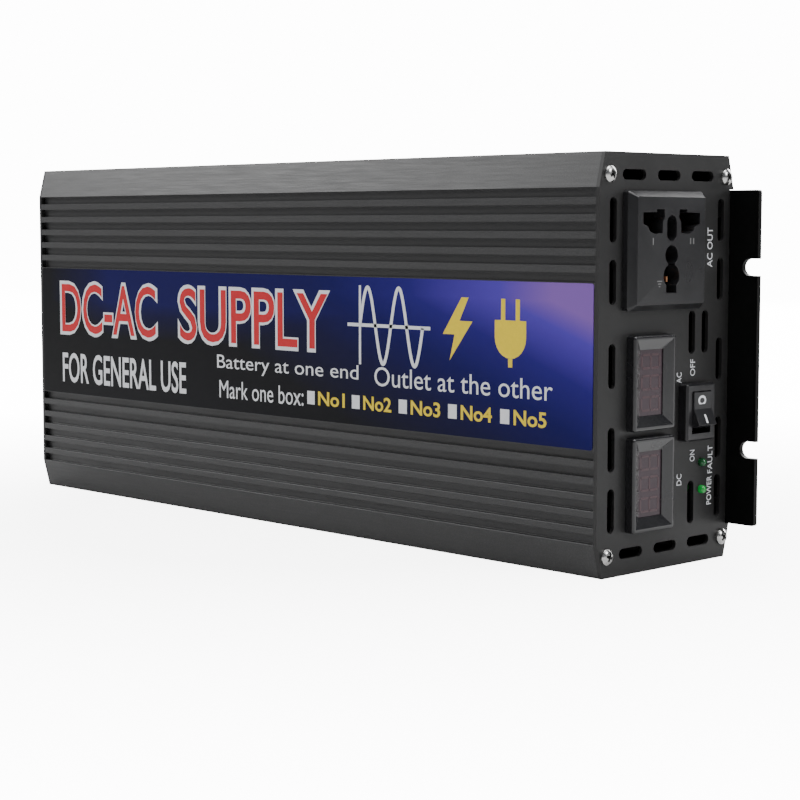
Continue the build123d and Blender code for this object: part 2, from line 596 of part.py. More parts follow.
# ---------------------------------------------------------------- meters
for meter, meter_z in METER_Z.items():
    face = Plane(origin=(HALF_LENGTH, METER_Y, meter_z), x_dir=(0, 1, 0), z_dir=(1, 0, 0))
    display_face = face.offset(METER_GLASS_RISE - METER_GLASS)
    board_face = display_face.offset(-DISPLAY_DEPTH)

    with BuildPart() as bezel:
        with BuildSketch(face):
            RectangleRounded(METER_WIDTH, METER_HEIGHT, METER_CORNER)
        extrude(amount=METER_RISE)
        fillet(bezel.faces().sort_by(Axis.X)[-1].edges(), METER_ROUND)
        with BuildSketch(face):
            Rectangle(METER_BODY_WIDTH, METER_BODY_HEIGHT)
        extrude(amount=-METER_BODY_DEPTH)
        with BuildSketch(face.offset(METER_RISE)):
            Rectangle(METER_WIDTH - 2 * METER_RIM, METER_HEIGHT - 2 * METER_RIM)
        with BuildSketch(face.offset(METER_GLASS_RISE + METER_SILL)):
            Rectangle(METER_WINDOW_WIDTH, METER_WINDOW_HEIGHT)
        loft(mode=Mode.SUBTRACT)
        with BuildSketch(face):
            Rectangle(METER_WINDOW_WIDTH, METER_WINDOW_HEIGHT)
        extrude(amount=METER_GLASS_RISE + METER_SILL, mode=Mode.SUBTRACT)
        with BuildSketch(face):
            Rectangle(METER_WINDOW_WIDTH + 2 * METER_GLASS_LAP + 0.2,
                      METER_WINDOW_HEIGHT + 2 * METER_GLASS_LAP + 0.2)
        extrude(amount=METER_GLASS_RISE, mode=Mode.SUBTRACT)
        with BuildSketch(face.offset(-METER_BODY_DEPTH)):
            Rectangle(METER_BODY_WIDTH - 2 * METER_BODY_WALL, METER_BODY_HEIGHT - 2 * METER_BODY_WALL)
        extrude(amount=METER_BODY_DEPTH, mode=Mode.SUBTRACT)
    bezel.part.label = f"{meter}_meter_bezel"
    export_step(bezel.part, f"parts/{meter}_meter_bezel.step")

    with BuildPart() as window:
        with BuildSketch(face.offset(METER_GLASS_RISE)):
            Rectangle(METER_WINDOW_WIDTH + 2 * METER_GLASS_LAP, METER_WINDOW_HEIGHT + 2 * METER_GLASS_LAP)
        extrude(amount=-METER_GLASS)
    window.part.label = f"{meter}_meter_window"
    export_step(window.part, f"parts/{meter}_meter_window.step")

    with BuildPart() as display:
        with BuildSketch(display_face):
            Rectangle(DISPLAY_WIDTH, DISPLAY_HEIGHT)
        extrude(amount=-DISPLAY_DEPTH)
    display.part.label = f"{meter}_meter_display"
    export_step(display.part, f"parts/{meter}_meter_display.step")

    with BuildPart() as meter_board:
        with BuildSketch(board_face):
            Rectangle(METER_BODY_WIDTH - 2 * METER_BODY_WALL, METER_BODY_HEIGHT - 2 * METER_BODY_WALL)
        extrude(amount=-METER_BOARD_THICK)
        with BuildSketch(board_face.offset(-METER_BOARD_THICK)):
            with Locations((0, -METER_LEAD_LOW)):
                Rectangle(8, 5)
            with Locations((4, 6)):
                Rectangle(5, 5)
        extrude(amount=-METER_PART_RISE)
    meter_board.part.label = f"{meter}_meter_board"
    export_step(meter_board.part, f"parts/{meter}_meter_board.step")

# ---------------------------------------------------------------- switch
with BuildPart() as switch_frame:
    with BuildSketch(SWITCH_FRONT):
        RectangleRounded(SWITCH_WIDTH, SWITCH_HEIGHT, SWITCH_CORNER)
    extrude(amount=SWITCH_RISE)
    chamfer(switch_frame.faces().sort_by(Axis.X)[-1].edges(), SWITCH_CHAMFER)
    with BuildSketch(SWITCH_FRONT):
        Rectangle(SWITCH_BODY_WIDTH, SWITCH_BODY_HEIGHT)
    extrude(amount=-SWITCH_BODY_DEPTH)
    with BuildSketch(SWITCH_FRONT.offset(SWITCH_RISE)):
        Rectangle(SWITCH_MOUTH_WIDTH, SWITCH_MOUTH_HEIGHT)
    extrude(amount=-(SWITCH_RISE + SWITCH_BODY_DEPTH - SWITCH_FLOOR), mode=Mode.SUBTRACT)
    with BuildSketch(Plane.XZ.offset(-SWITCH_Y)):
        with Locations((ROCKER_PIVOT_X, SWITCH_Z)):
            Circle(TRUNNION_RADIUS + 0.05)
    extrude(amount=TRUNNION_REACH + 0.2, both=True, mode=Mode.SUBTRACT)
    with BuildSketch(SWITCH_FRONT.offset(-SWITCH_BODY_DEPTH)):
        with Locations((0, 0), (0, TERMINAL_STEP)):
            Rectangle(LEVER_WIDTH + 0.2, LEVER_THICK + 0.2)
    extrude(amount=SWITCH_FLOOR, mode=Mode.SUBTRACT)
switch_frame.part.label = "switch_frame"
export_step(switch_frame.part, "parts/switch_frame.step")

# The rocker is drawn level about its pivot, with X outwards, then set to its off position
ROCKER_AT_REST = Plane(
    origin=(ROCKER_PIVOT_X, SWITCH_Y, SWITCH_Z),
    x_dir=(cos(radians(ROCKER_TILT)), 0, sin(radians(ROCKER_TILT))),
    z_dir=(0, -1, 0),
)
tip_rise, tip_half = ROCKER_TIP
skirt_drop, skirt_half = ROCKER_SKIRT

with BuildPart() as switch_rocker:
    with BuildSketch(ROCKER_AT_REST):
        Polygon((-skirt_drop, -skirt_half), (tip_rise, -tip_half), (ROCKER_FOLD, 0),
                (tip_rise, tip_half), (-skirt_drop, skirt_half), align=None)
    extrude(amount=ROCKER_WIDTH / 2, both=True)
    with BuildSketch(ROCKER_AT_REST):
        Circle(TRUNNION_RADIUS)
    extrude(amount=TRUNNION_REACH, both=True)
    with BuildSketch(ROCKER_AT_REST):
        with Locations((ROCKER_POCKET_TOP - skirt_drop, 0)):
            Rectangle(2 * skirt_drop, ROCKER_POCKET)
    extrude(amount=ROCKER_POCKET / 2, both=True, mode=Mode.SUBTRACT)
switch_rocker.part.label = "switch_rocker"
export_step(switch_rocker.part, "parts/switch_rocker.step")

tip_start = PLUNGER_TIP - PLUNGER_REACH
with BuildPart() as switch_plunger:
    with BuildSketch(ROCKER_AT_REST):
        with BuildLine():
            Polyline((0, 0), (0, PLUNGER_RADIUS), (tip_start, PLUNGER_RADIUS), (tip_start, PLUNGER_TIP))
            ThreePointArc(
                (tip_start, PLUNGER_TIP),
                (tip_start - PLUNGER_TIP * sin(radians(45)), PLUNGER_TIP * cos(radians(45))),
                (-PLUNGER_REACH, 0),
            )
            Line((-PLUNGER_REACH, 0), (0, 0))
        make_face()
    revolve(axis=Axis(ROCKER_AT_REST.origin, ROCKER_AT_REST.x_dir))
switch_plunger.part.label = "switch_plunger"
export_step(switch_plunger.part, "parts/switch_plunger.step")

LEVER_AT_REST = Plane(
    origin=(LEVER_X, SWITCH_Y, SWITCH_Z),
    x_dir=(cos(radians(LEVER_TILT)), 0, -sin(radians(LEVER_TILT))),
    z_dir=(0, -1, 0),
)

with BuildPart() as switch_lever:
    with BuildSketch(LEVER_AT_REST):
        with Locations((LEVER_THICK / 2, 0)):
            Rectangle(LEVER_THICK, 2 * LEVER_REACH)
        Circle(LEVER_KNUCKLE)
    extrude(amount=LEVER_WIDTH / 2, both=True)
switch_lever.part.label = "switch_lever"
export_step(switch_lever.part, "parts/switch_lever.step")

with BuildPart() as switch_terminals:
    for step, top in ((0, LEVER_X - 0.5), (TERMINAL_STEP, LEVER_X - 1.6)):
        with BuildSketch(Plane.YZ.offset(SWITCH_TAIL)):
            with Locations((SWITCH_Y, SWITCH_Z + step)):
                Rectangle(LEVER_WIDTH, LEVER_THICK)
        extrude(amount=top - SWITCH_TAIL)
switch_terminals.part.label = "switch_terminals"
export_step(switch_terminals.part, "parts/switch_terminals.step")

# ---------------------------------------------------------------- lamps
dome_x = HALF_LENGTH + LED_RISE
for lamp, lamp_z in LED_Z.items():
    with BuildPart() as led:
        with BuildSketch(Plane.XY.offset(lamp_z)):
            with BuildLine():
                Polyline((LED_BASE, LED_Y), (LED_BASE, LED_Y + LED_BASE_RADIUS),
                         (SHELL_END, LED_Y + LED_BASE_RADIUS), (SHELL_END, LED_Y + LED_RADIUS),
                         (dome_x, LED_Y + LED_RADIUS))
                ThreePointArc(
                    (dome_x, LED_Y + LED_RADIUS),
                    (dome_x + LED_RADIUS * sin(radians(45)), LED_Y + LED_RADIUS * cos(radians(45))),
                    (dome_x + LED_RADIUS, LED_Y),
                )
                Line((dome_x + LED_RADIUS, LED_Y), (LED_BASE, LED_Y))
            make_face()
        revolve(axis=Axis((0, LED_Y, lamp_z), (1, 0, 0)))
        with BuildSketch(Plane.YZ.offset(LED_BASE)):
            with Locations((LED_Y - LED_LEG_STEP, lamp_z), (LED_Y + LED_LEG_STEP, lamp_z)):
                Rectangle(0.5, 0.5)
        extrude(amount=-LED_LEG)
    led.part.label = f"{lamp}_led"
    export_step(led.part, f"parts/{lamp}_led.step")

# ---------------------------------------------------------------- fan
with BuildPart() as fan_frame:
    with BuildSketch(FAN_AXIS):
        RectangleRounded(FAN_SIZE, FAN_SIZE, FAN_CORNER)
    extrude(amount=FAN_DEPTH)
    with BuildSketch(FAN_AXIS.offset(FAN_FLANGE)):
        Rectangle(FAN_SIZE + 2, FAN_SIZE + 2)
        Circle(FAN_BORE + FAN_WALL, mode=Mode.SUBTRACT)
    extrude(amount=FAN_DEPTH - 2 * FAN_FLANGE, mode=Mode.SUBTRACT)
    with BuildSketch(FAN_AXIS):
        Circle(FAN_BORE)
        with Locations(*FAN_CORNERS):
            Circle(FAN_HOLE)
    extrude(amount=FAN_DEPTH, mode=Mode.SUBTRACT)
    with BuildSketch(FAN_AXIS):
        Circle(HUB_RADIUS - 0.5)
        with PolarLocations((HUB_RADIUS + FAN_BORE) / 2, 4, start_angle=20):
            Rectangle(*FAN_ARM)
    extrude(amount=FAN_ARM_THICK)
    with BuildSketch(FAN_AXIS):
        Circle(BEARING_RADIUS)
    extrude(amount=BEARING_TOP)
    with BuildSketch(FAN_AXIS):
        Circle(SHAFT_RADIUS + 0.05)
    extrude(amount=BEARING_TOP, mode=Mode.SUBTRACT)
fan_frame.part.label = "fan_frame"
export_step(fan_frame.part, "parts/fan_frame.step")

with BuildPart() as fan_coils:
    with BuildSketch(FAN_AXIS.offset(3)):
        Circle(4.6)
        with PolarLocations(7.2, 4, start_angle=45):
            Rectangle(7.0, 4.4)
        with PolarLocations(9.9, 4, start_angle=45):
            Rectangle(1.6, 10.5)
        Circle(BEARING_RADIUS + 0.05, mode=Mode.SUBTRACT)
    extrude(amount=8)
fan_coils.part.label = "fan_coils"
export_step(fan_coils.part, "parts/fan_coils.step")

with BuildPart() as fan_blade:
    with BuildSketch(Plane(origin=(HUB_RADIUS - 0.6, 0, 9.6), x_dir=(0, 1, 0), z_dir=(1, 0, 0))):
        Rectangle(12, 1.3, rotation=42)
    with BuildSketch(Plane(origin=(BLADE_TIP + 1, -2, 9.6), x_dir=(0, 1, 0), z_dir=(1, 0, 0))):
        Rectangle(19, 1.0, rotation=28)
    loft()
    Cylinder(BLADE_TIP, 60, mode=Mode.INTERSECT)

with BuildPart() as fan_rotor:
    with Locations(FAN_AXIS):
        with PolarLocations(0, FAN_BLADES):
            add(fan_blade.part)
    with BuildSketch(FAN_AXIS.offset(HUB_BACK)):
        Circle(HUB_RADIUS)
    extrude(amount=HUB_LENGTH)
    fillet(fan_rotor.edges().filter_by(GeomType.CIRCLE).group_by(Axis.X)[0], 1.0)
    with BuildSketch(FAN_AXIS.offset(HUB_BACK)):
        Circle(HUB_RADIUS - HUB_WALL)
    extrude(amount=HUB_LENGTH - HUB_WALL, mode=Mode.SUBTRACT)
    with BuildSketch(FAN_AXIS.offset(1)):
        Circle(SHAFT_RADIUS)
    extrude(amount=HUB_BACK + HUB_LENGTH - 2)
fan_rotor.part.label = "fan_rotor"
export_step(fan_rotor.part, "parts/fan_rotor.step")

with BuildPart() as fan_guard:
    with Locations(GUARD_AXIS.offset(GUARD_LIFT + GUARD_WIRE)):
        for ring in GUARD_RINGS:
            Torus(ring, GUARD_WIRE)
    for corner in range(4):
        turn = 45 + 90 * corner
        leg_plane = Plane(
            origin=GUARD_AXIS.origin,
            x_dir=(0, cos(radians(turn)), sin(radians(turn))),
            z_dir=(0, sin(radians(turn)), -cos(radians(turn))),
        )
        with BuildLine(leg_plane) as leg:
            FilletPolyline(
                (GUARD_RINGS[0], -GUARD_LIFT - GUARD_WIRE - 1.1),
                (GUARD_RINGS[-1] + 1, -GUARD_LIFT - GUARD_WIRE - 1.1),
                (GUARD_RINGS[-1] + 2.5, -GUARD_WIRE),
                (EYE_RADIUS - EYE_LOOP, -GUARD_WIRE),
                radius=GUARD_BEND,
            )
        with BuildSketch(Plane(leg.wire() @ 0, z_dir=leg.wire() % 0)):
            Circle(GUARD_WIRE)
        sweep(path=leg.wire())
    with Locations(GUARD_AXIS.offset(GUARD_WIRE)):
        with Locations(*FAN_CORNERS):
            Torus(EYE_LOOP, GUARD_WIRE)
fan_guard.part.label = "fan_guard"
export_step(fan_guard.part, "parts/fan_guard.step")

with BuildPart() as fan_screws:
    with BuildSketch(GUARD_AXIS.offset(2 * GUARD_WIRE)):
        with Locations(*FAN_CORNERS):
            Circle(FAN_SCREW_HEAD)
    extrude(amount=FAN_SCREW_HEAD_HEIGHT)
    fillet(fan_screws.faces().sort_by(Axis.X)[:4].edges(), 0.8)
    with BuildSketch(GUARD_AXIS.offset(2 * GUARD_WIRE + FAN_SCREW_HEAD_HEIGHT)):
        with Locations(*FAN_CORNERS):
            Rectangle(4.2, 0.8)
            Rectangle(0.8, 4.2)
    extrude(amount=-FAN_SCREW_HEAD_HEIGHT / 2, mode=Mode.SUBTRACT)
    with BuildSketch(GUARD_AXIS.offset(2 * GUARD_WIRE)):
        with Locations(*FAN_CORNERS):
            Circle(FAN_SCREW_SHANK)
    extrude(amount=-FAN_SCREW_LENGTH)
    with BuildSketch(FAN_AXIS):
        with Locations(*FAN_CORNERS):
            RegularPolygon(FAN_NUT, 6)
    extrude(amount=-3)
fan_screws.part.label = "fan_screws"
export_step(fan_screws.part, "parts/fan_screws.step")

# ---------------------------------------------------------------- battery terminals
for pole, pole_z in TERMINAL_Z.items():
    seat = Plane(origin=(-HALF_LENGTH, 0, pole_z), x_dir=(0, -1, 0), z_dir=(-1, 0, 0))
    shoulder = seat.offset(COLLAR_THICK)
    washer_seat = shoulder.offset(SHOULDER_THICK + STACK_GAP)
    knob_seat = washer_seat.offset(WASHER_THICK + STACK_GAP)

    with BuildPart() as insulator:
        with BuildSketch(seat):
            Circle(COLLAR_RADIUS)
        extrude(amount=COLLAR_THICK)
        fillet(insulator.edges().group_by(Axis.X)[0], 0.8)
        with BuildSketch(seat.offset(-PANEL_THICK)):
            Circle(COLLAR_INSIDE[0])
        extrude(amount=-COLLAR_INSIDE[1])
        with BuildSketch(seat):
            Circle(TERMINAL_HOLE - 0.2)
        extrude(amount=-PANEL_THICK)
        with BuildSketch(seat.offset(COLLAR_THICK)):
            Circle(STUD_RADIUS + 0.05)
        extrude(amount=-10, mode=Mode.SUBTRACT)
    insulator.part.label = f"{pole}_insulator"
    export_step(insulator.part, f"parts/{pole}_insulator.step")

    with BuildPart() as stud:
        with BuildSketch(shoulder):
            Circle(STUD_SHOULDER)
        extrude(amount=SHOULDER_THICK)
        with BuildSketch(shoulder):
            Circle(STUD_RADIUS)
        extrude(amount=SHOULDER_THICK + WASHER_THICK + 2 * STACK_GAP + KNOB_BORE_DEPTH - 0.8)
        chamfer(stud.edges().filter_by(GeomType.CIRCLE).group_by(Axis.X)[0], 0.6)
        with BuildSketch(shoulder):
            Circle(STUD_RADIUS)
        extrude(amount=-COLLAR_THICK - PANEL_THICK - STUD_INSIDE)
    stud.part.label = f"{pole}_stud"
    export_step(stud.part, f"parts/{pole}_stud.step")

    with BuildPart() as washer:
        with BuildSketch(washer_seat):
            Circle(WASHER_RADIUS)
            Circle(STUD_RADIUS + 0.3, mode=Mode.SUBTRACT)
        extrude(amount=WASHER_THICK)
    washer.part.label = f"{pole}_washer"
    export_step(washer.part, f"parts/{pole}_washer.step")

    with BuildPart() as knob:
        with BuildSketch(knob_seat):
            Circle(KNOB_RADIUS)
            with PolarLocations(KNOB_RADIUS + 1.2, KNOB_FLUTES):
                Circle(FLUTE_RADIUS, mode=Mode.SUBTRACT)
        extrude(amount=KNOB_LENGTH)
        chamfer(knob.faces().sort_by(Axis.X)[0].edges(), KNOB_BEVEL)
        with BuildSketch(knob_seat):
            Circle(STUD_RADIUS + 0.05)
        extrude(amount=KNOB_BORE_DEPTH, mode=Mode.SUBTRACT)
    knob.part.label = f"{pole}_knob"
    export_step(knob.part, f"parts/{pole}_knob.step")

    busbar_seat = seat.offset(-PANEL_THICK - COLLAR_INSIDE[1])
    busbar_start = -HALF_LENGTH + PANEL_THICK + COLLAR_INSIDE[1]
    with BuildPart() as nut:
        with BuildSketch(busbar_seat.offset(-BUSBAR_THICK)):
            RegularPolygon(TERMINAL_NUT[0], 6)
            Circle(STUD_RADIUS, mode=Mode.SUBTRACT)
        extrude(amount=-TERMINAL_NUT[1])
    nut.part.label = f"{pole}_nut"
    export_step(nut.part, f"parts/{pole}_nut.step")

    with BuildPart() as busbar:
        with BuildSketch(busbar_seat):
            with Locations((-(BOARD_FACE - 8) / 2, 0)):
                Rectangle(BOARD_FACE + 8, BUSBAR_WIDTH)
            Circle(STUD_RADIUS + 0.1, mode=Mode.SUBTRACT)
        extrude(amount=-BUSBAR_THICK)
        with BuildSketch(BOARD_PLANE):
            with Locations(((busbar_start - BUSBAR_END) / 2, pole_z)):
                Rectangle(-busbar_start - BUSBAR_END, BUSBAR_WIDTH)
        extrude(amount=BUSBAR_THICK)
    busbar.part.label = f"{pole}_busbar"
    export_step(busbar.part, f"parts/{pole}_busbar.step")

with BuildPart() as ground_screw:
    for face, out in ((BATTERY_END, 1), (BATTERY_END.offset(-PANEL_THICK), -1)):
        with BuildSketch(face):
            with Locations((-GROUND[0], GROUND[1])):
                RegularPolygon(GROUND_NUT[0], 6)
        extrude(amount=out * GROUND_NUT[1])
    with BuildSketch(BATTERY_END.offset(-8)):
        with Locations((-GROUND[0], GROUND[1])):
            Circle(GROUND_RADIUS)
    extrude(amount=18)
ground_screw.part.label = "ground_screw"
export_step(ground_screw.part, "parts/ground_screw.step")

# ---------------------------------------------------------------- boards
with BuildPart() as main_board:
    with BuildSketch(Plane.XZ.offset(-BOARD_FACE - BOARD_THICK)):
        with Locations(((BOARD_START + BOARD_END) / 2, MID_Z)):
            Rectangle(BOARD_END - BOARD_START, BOARD_TOP - BOARD_BOTTOM)
        with Locations(*STANDOFFS):
            Circle(M3_CLEARANCE, mode=Mode.SUBTRACT)
    extrude(amount=BOARD_THICK)
main_board.part.label = "main_board"
export_step(main_board.part, "parts/main_board.step")

with BuildPart() as board_standoffs:
    with BuildSketch(Plane.XZ.offset(-LIP_FACE)):
        with Locations(*STANDOFFS):
            RegularPolygon(STANDOFF_HEX, 6)
    extrude(amount=LIP_FACE - BOARD_FACE - BOARD_THICK)
    with BuildSketch(Plane.XZ.offset(-HALF_DEPTH)):
        with Locations(*STANDOFFS):
            Circle(STANDOFF_RIVET)
    extrude(amount=PLATE_THICK)
    with BuildSketch(Plane.XZ.offset(-BOARD_FACE - BOARD_THICK)):
        with Locations(*STANDOFFS):
            Circle(TAP_RADIUS)
    extrude(amount=-SHORT_SCREW, mode=Mode.SUBTRACT)
board_standoffs.part.label = "board_standoffs"
export_step(board_standoffs.part, "parts/board_standoffs.step")

with BuildPart() as board_screws:
    with Locations(BOARD_PLANE):
        with Locations(*STANDOFFS):
            add(board_screw.part)
board_screws.part.label = "board_screws"
export_step(board_screws.part, "parts/board_screws.step")

# ---------------------------------------------------------------- power parts
with BuildPart() as transformer_cores:
    for x in TRANSFORMER_X:
        with BuildSketch(Plane.YZ.offset(x - CORE_THICK / 2)):
            with Locations((CORE_Y, MID_Z)):
                Rectangle(CORE_DEEP, CORE_TALL)
            offset_y = (CORE_LEG + CORE_WINDOW[0]) / 2
            with Locations((CORE_Y - offset_y, MID_Z), (CORE_Y + offset_y, MID_Z)):
                Rectangle(*CORE_WINDOW, mode=Mode.SUBTRACT)
        extrude(amount=CORE_THICK)
transformer_cores.part.label = "transformer_cores"
export_step(transformer_cores.part, "parts/transformer_cores.step")

with BuildPart() as transformer_windings:
    for x in TRANSFORMER_X:
        with BuildSketch(Plane.XY.offset(MID_Z - WINDING_TALL / 2)):
            with Locations((x, CORE_Y)):
                RectangleRounded(*WINDING_SIZE, 5)
                Rectangle(CORE_THICK + 0.2, CORE_LEG + 0.2, mode=Mode.SUBTRACT)
        extrude(amount=WINDING_TALL)
        with BuildSketch(BOARD_PLANE):
            with Locations(*[(x + i, MID_Z + j) for i in (-WINDING_PIN_X, WINDING_PIN_X)
                             for j in WINDING_PIN_Z]):
                Circle(0.7)
        extrude(amount=WINDING_PIN_LENGTH)
transformer_windings.part.label = "transformer_windings"
export_step(transformer_windings.part, "parts/transformer_windings.step")

with BuildPart() as heat_bars:
    with BuildSketch(Plane.YZ.offset(-BAR_HALF_LENGTH)):
        with Locations((BAR_Y, BAR_INNER - BAR_THICK / 2), (BAR_Y, CASE_HEIGHT - BAR_INNER + BAR_THICK / 2)):
            Rectangle(BAR_WIDTH, BAR_THICK)
    extrude(amount=2 * BAR_HALF_LENGTH)
heat_bars.part.label = "heat_bars"
export_step(heat_bars.part, "parts/heat_bars.step")

transistor_width, transistor_tall, transistor_thick = TRANSISTOR_SIZE
leg_length = BOARD_FACE - TRANSISTOR_Y - transistor_tall / 2 + 0.3
with BuildPart() as power_transistors:
    for i in range(TRANSISTORS):
        x = (i - (TRANSISTORS - 1) / 2) * TRANSISTOR_PITCH
        for z, inward in ((BAR_INNER, 1), (CASE_HEIGHT - BAR_INNER, -1)):
            with BuildSketch(Plane.XY.offset(z)):
                with Locations((x, TRANSISTOR_Y)):
                    Rectangle(transistor_width, transistor_tall)
                with Locations((x, TRANSISTOR_Y - 7)):
                    Circle(TRANSISTOR_HOLE, mode=Mode.SUBTRACT)
            extrude(amount=transistor_thick * inward)
            with BuildSketch(BOARD_PLANE):
                with Locations(*[(x + step * TRANSISTOR_LEG_STEP, z + 2.9 * inward) for step in (-1, 0, 1)]):
                    Rectangle(*TRANSISTOR_LEG)
            extrude(amount=leg_length)
power_transistors.part.label = "power_transistors"
export_step(power_transistors.part, "parts/power_transistors.step")

with BuildPart() as input_capacitors:
    with BuildSketch(BOARD_PLANE):
        with Locations(*[(x, MID_Z + z) for x in (-127, -110) for z in (-27, -9, 9, 27)]):
            Circle(INPUT_CAPACITOR[0])
    extrude(amount=INPUT_CAPACITOR[1])
    fillet(input_capacitors.edges().group_by(Axis.Y)[0], 0.8)
input_capacitors.part.label = "input_capacitors"
export_step(input_capacitors.part, "parts/input_capacitors.step")

with BuildPart() as bulk_capacitors:
    with BuildSketch(BOARD_PLANE):
        with Locations((BULK_X, 71 - BULK_STEP), (BULK_X, 71 + BULK_STEP)):
            Circle(BULK_CAPACITOR[0])
    extrude(amount=BULK_CAPACITOR[1])
    fillet(bulk_capacitors.edges().group_by(Axis.Y)[0], 1.2)
bulk_capacitors.part.label = "bulk_capacitors"
export_step(bulk_capacitors.part, "parts/bulk_capacitors.step")

with BuildPart() as inductor_core:
    with BuildSketch(BOARD_PLANE.offset(INDUCTOR_LIFT)):
        with Locations(INDUCTOR):
            Circle(INDUCTOR_RADII[0])
            Circle(INDUCTOR_RADII[1], mode=Mode.SUBTRACT)
    extrude(amount=INDUCTOR_THICK)
inductor_core.part.label = "inductor_core"
export_step(inductor_core.part, "parts/inductor_core.step")

with BuildPart() as winding_turn:
    with BuildSketch(Plane.YZ):
        RectangleRounded(13.2, 9.2, 1.5)
        RectangleRounded(10.2, 6.2, 0.1, mode=Mode.SUBTRACT)
    extrude(amount=1.1, both=True)

inductor_middle = BOARD_PLANE.offset(INDUCTOR_LIFT + INDUCTOR_THICK / 2)
with BuildPart() as inductor_winding:
    with Locations(inductor_middle):
        with Locations(INDUCTOR):
            with PolarLocations(sum(INDUCTOR_RADII) / 2, INDUCTOR_TURNS, start_angle=10):
                with Locations(Location((0, 0, 0), (0, 90, 90))):
                    add(winding_turn.part)
inductor_winding.part.label = "inductor_winding"
export_step(inductor_winding.part, "parts/inductor_winding.step")

with BuildPart() as driver_board:
    with BuildSketch(Plane.XY.offset(DRIVER_Z)):
        with Locations((DRIVER_X, BOARD_FACE - DRIVER_SIZE[1] / 2)):
            Rectangle(*DRIVER_SIZE)
    extrude(amount=DRIVER_THICK)
    for x, y, width, height in DRIVER_PARTS:
        with BuildSketch(Plane.XY.offset(DRIVER_Z)):
            with Locations((x, y)):
                Rectangle(width, height)
        extrude(amount=-2)
driver_board.part.label = "driver_board"
export_step(driver_board.part, "parts/driver_board.step")

with BuildPart() as fuses:
    for z in FUSE_Z:
        with BuildSketch(BOARD_PLANE):
            with Locations((FUSE_X, z)):
                Rectangle(*FUSE_HOLDER[:2])
        extrude(amount=FUSE_HOLDER[2])
        with BuildSketch(BOARD_PLANE.offset(FUSE_HOLDER[2])):
            with Locations((FUSE_X, z)):
                Rectangle(*FUSE_BLADE[:2])
        extrude(amount=FUSE_BLADE[2])
fuses.part.label = "fuses"
export_step(fuses.part, "parts/fuses.step")


# ---------------------------------------------------------------- internal wiring
def board_route(start, drop_x):
    """Run along X from the start, then across the case to the main board."""
    x, y, z = start
    return [(x, y, z), (drop_x, y, z), (drop_x, BOARD_FACE, z)]


with BuildPart() as ac_leads:
    for (y, z), drop_x in zip(CONTACT_SLITS, AC_LEAD_DROPS):
        start = (HALF_LENGTH - CHAMBER_DEPTH - CONTACT_TAIL, SOCKET_Y + y, SOCKET_Z + z)
        with BuildLine() as route:
            FilletPolyline(*board_route(start, drop_x), radius=5)
        with BuildSketch(Plane(route.wire() @ 0, z_dir=route.wire() % 0)):
            Circle(AC_LEAD_RADIUS)
        sweep(path=route.wire())
ac_leads.part.label = "ac_leads"
export_step(ac_leads.part, "parts/ac_leads.step")

with BuildPart() as panel_leads:
    for start, drop_x in PANEL_LEADS:
        with BuildLine() as route:
            FilletPolyline(*board_route(start, drop_x), radius=2.5)
        with BuildSketch(Plane(route.wire() @ 0, z_dir=route.wire() % 0)):
            Circle(PANEL_LEAD_RADIUS)
        sweep(path=route.wire())
panel_leads.part.label = "panel_leads"
export_step(panel_leads.part, "parts/panel_leads.step")

with BuildPart() as fan_leads:
    for step in (0, FAN_LEAD_STEP):
        start = (FAN_BACK, FAN_LEAD_Y, MID_Z + FAN_LEAD_RISE + step)
        with BuildLine() as route:
            FilletPolyline(*board_route(start, FAN_LEAD_DROP), radius=1.5)
        with BuildSketch(Plane(route.wire() @ 0, z_dir=route.wire() % 0)):
            Circle(FAN_LEAD_RADIUS)
        sweep(path=route.wire())
fan_leads.part.label = "fan_leads"
export_step(fan_leads.part, "parts/fan_leads.step")
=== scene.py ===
"""Looks of a power inverter in a ribbed metal case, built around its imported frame.

X runs along the case to the outlet end, Y from the labelled face to the base plate, and Z is up.
Sizes are in metres. Each finish and each group of pieces has its own function.
"""
import math

import bmesh
import bpy
from mathutils import Matrix, Vector


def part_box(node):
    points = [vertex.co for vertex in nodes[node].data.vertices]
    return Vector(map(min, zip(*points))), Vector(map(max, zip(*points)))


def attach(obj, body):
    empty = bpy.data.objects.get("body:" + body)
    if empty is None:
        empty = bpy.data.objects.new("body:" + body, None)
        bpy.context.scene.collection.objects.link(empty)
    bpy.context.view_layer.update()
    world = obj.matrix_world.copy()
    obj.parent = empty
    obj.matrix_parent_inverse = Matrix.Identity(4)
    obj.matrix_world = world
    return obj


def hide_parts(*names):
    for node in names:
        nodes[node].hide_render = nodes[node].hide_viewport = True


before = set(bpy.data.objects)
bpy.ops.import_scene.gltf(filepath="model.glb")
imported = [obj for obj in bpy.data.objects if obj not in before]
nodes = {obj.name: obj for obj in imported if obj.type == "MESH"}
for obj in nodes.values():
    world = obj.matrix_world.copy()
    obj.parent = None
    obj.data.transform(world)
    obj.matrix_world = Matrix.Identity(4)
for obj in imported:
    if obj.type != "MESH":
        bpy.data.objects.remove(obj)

MM = 0.001
TURN = 2 * math.pi
FILM = 0.02 * MM            # thickness of a printed film
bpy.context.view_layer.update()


# ---------------------------------------------------------------- places from the frame
def middle(node):
    """Centre of a CAD node's box."""
    low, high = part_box(node)
    return (low + high) / 2


CASE_LOW, CASE_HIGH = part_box("case_shell")
OUTLET_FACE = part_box("ac_panel")[1].x
BATTERY_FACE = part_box("dc_panel")[0].x
LABEL_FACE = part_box("front_label")[0].y
BACK_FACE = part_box("base_plate")[1].y
MID_Z = (CASE_LOW.z + CASE_HIGH.z) / 2

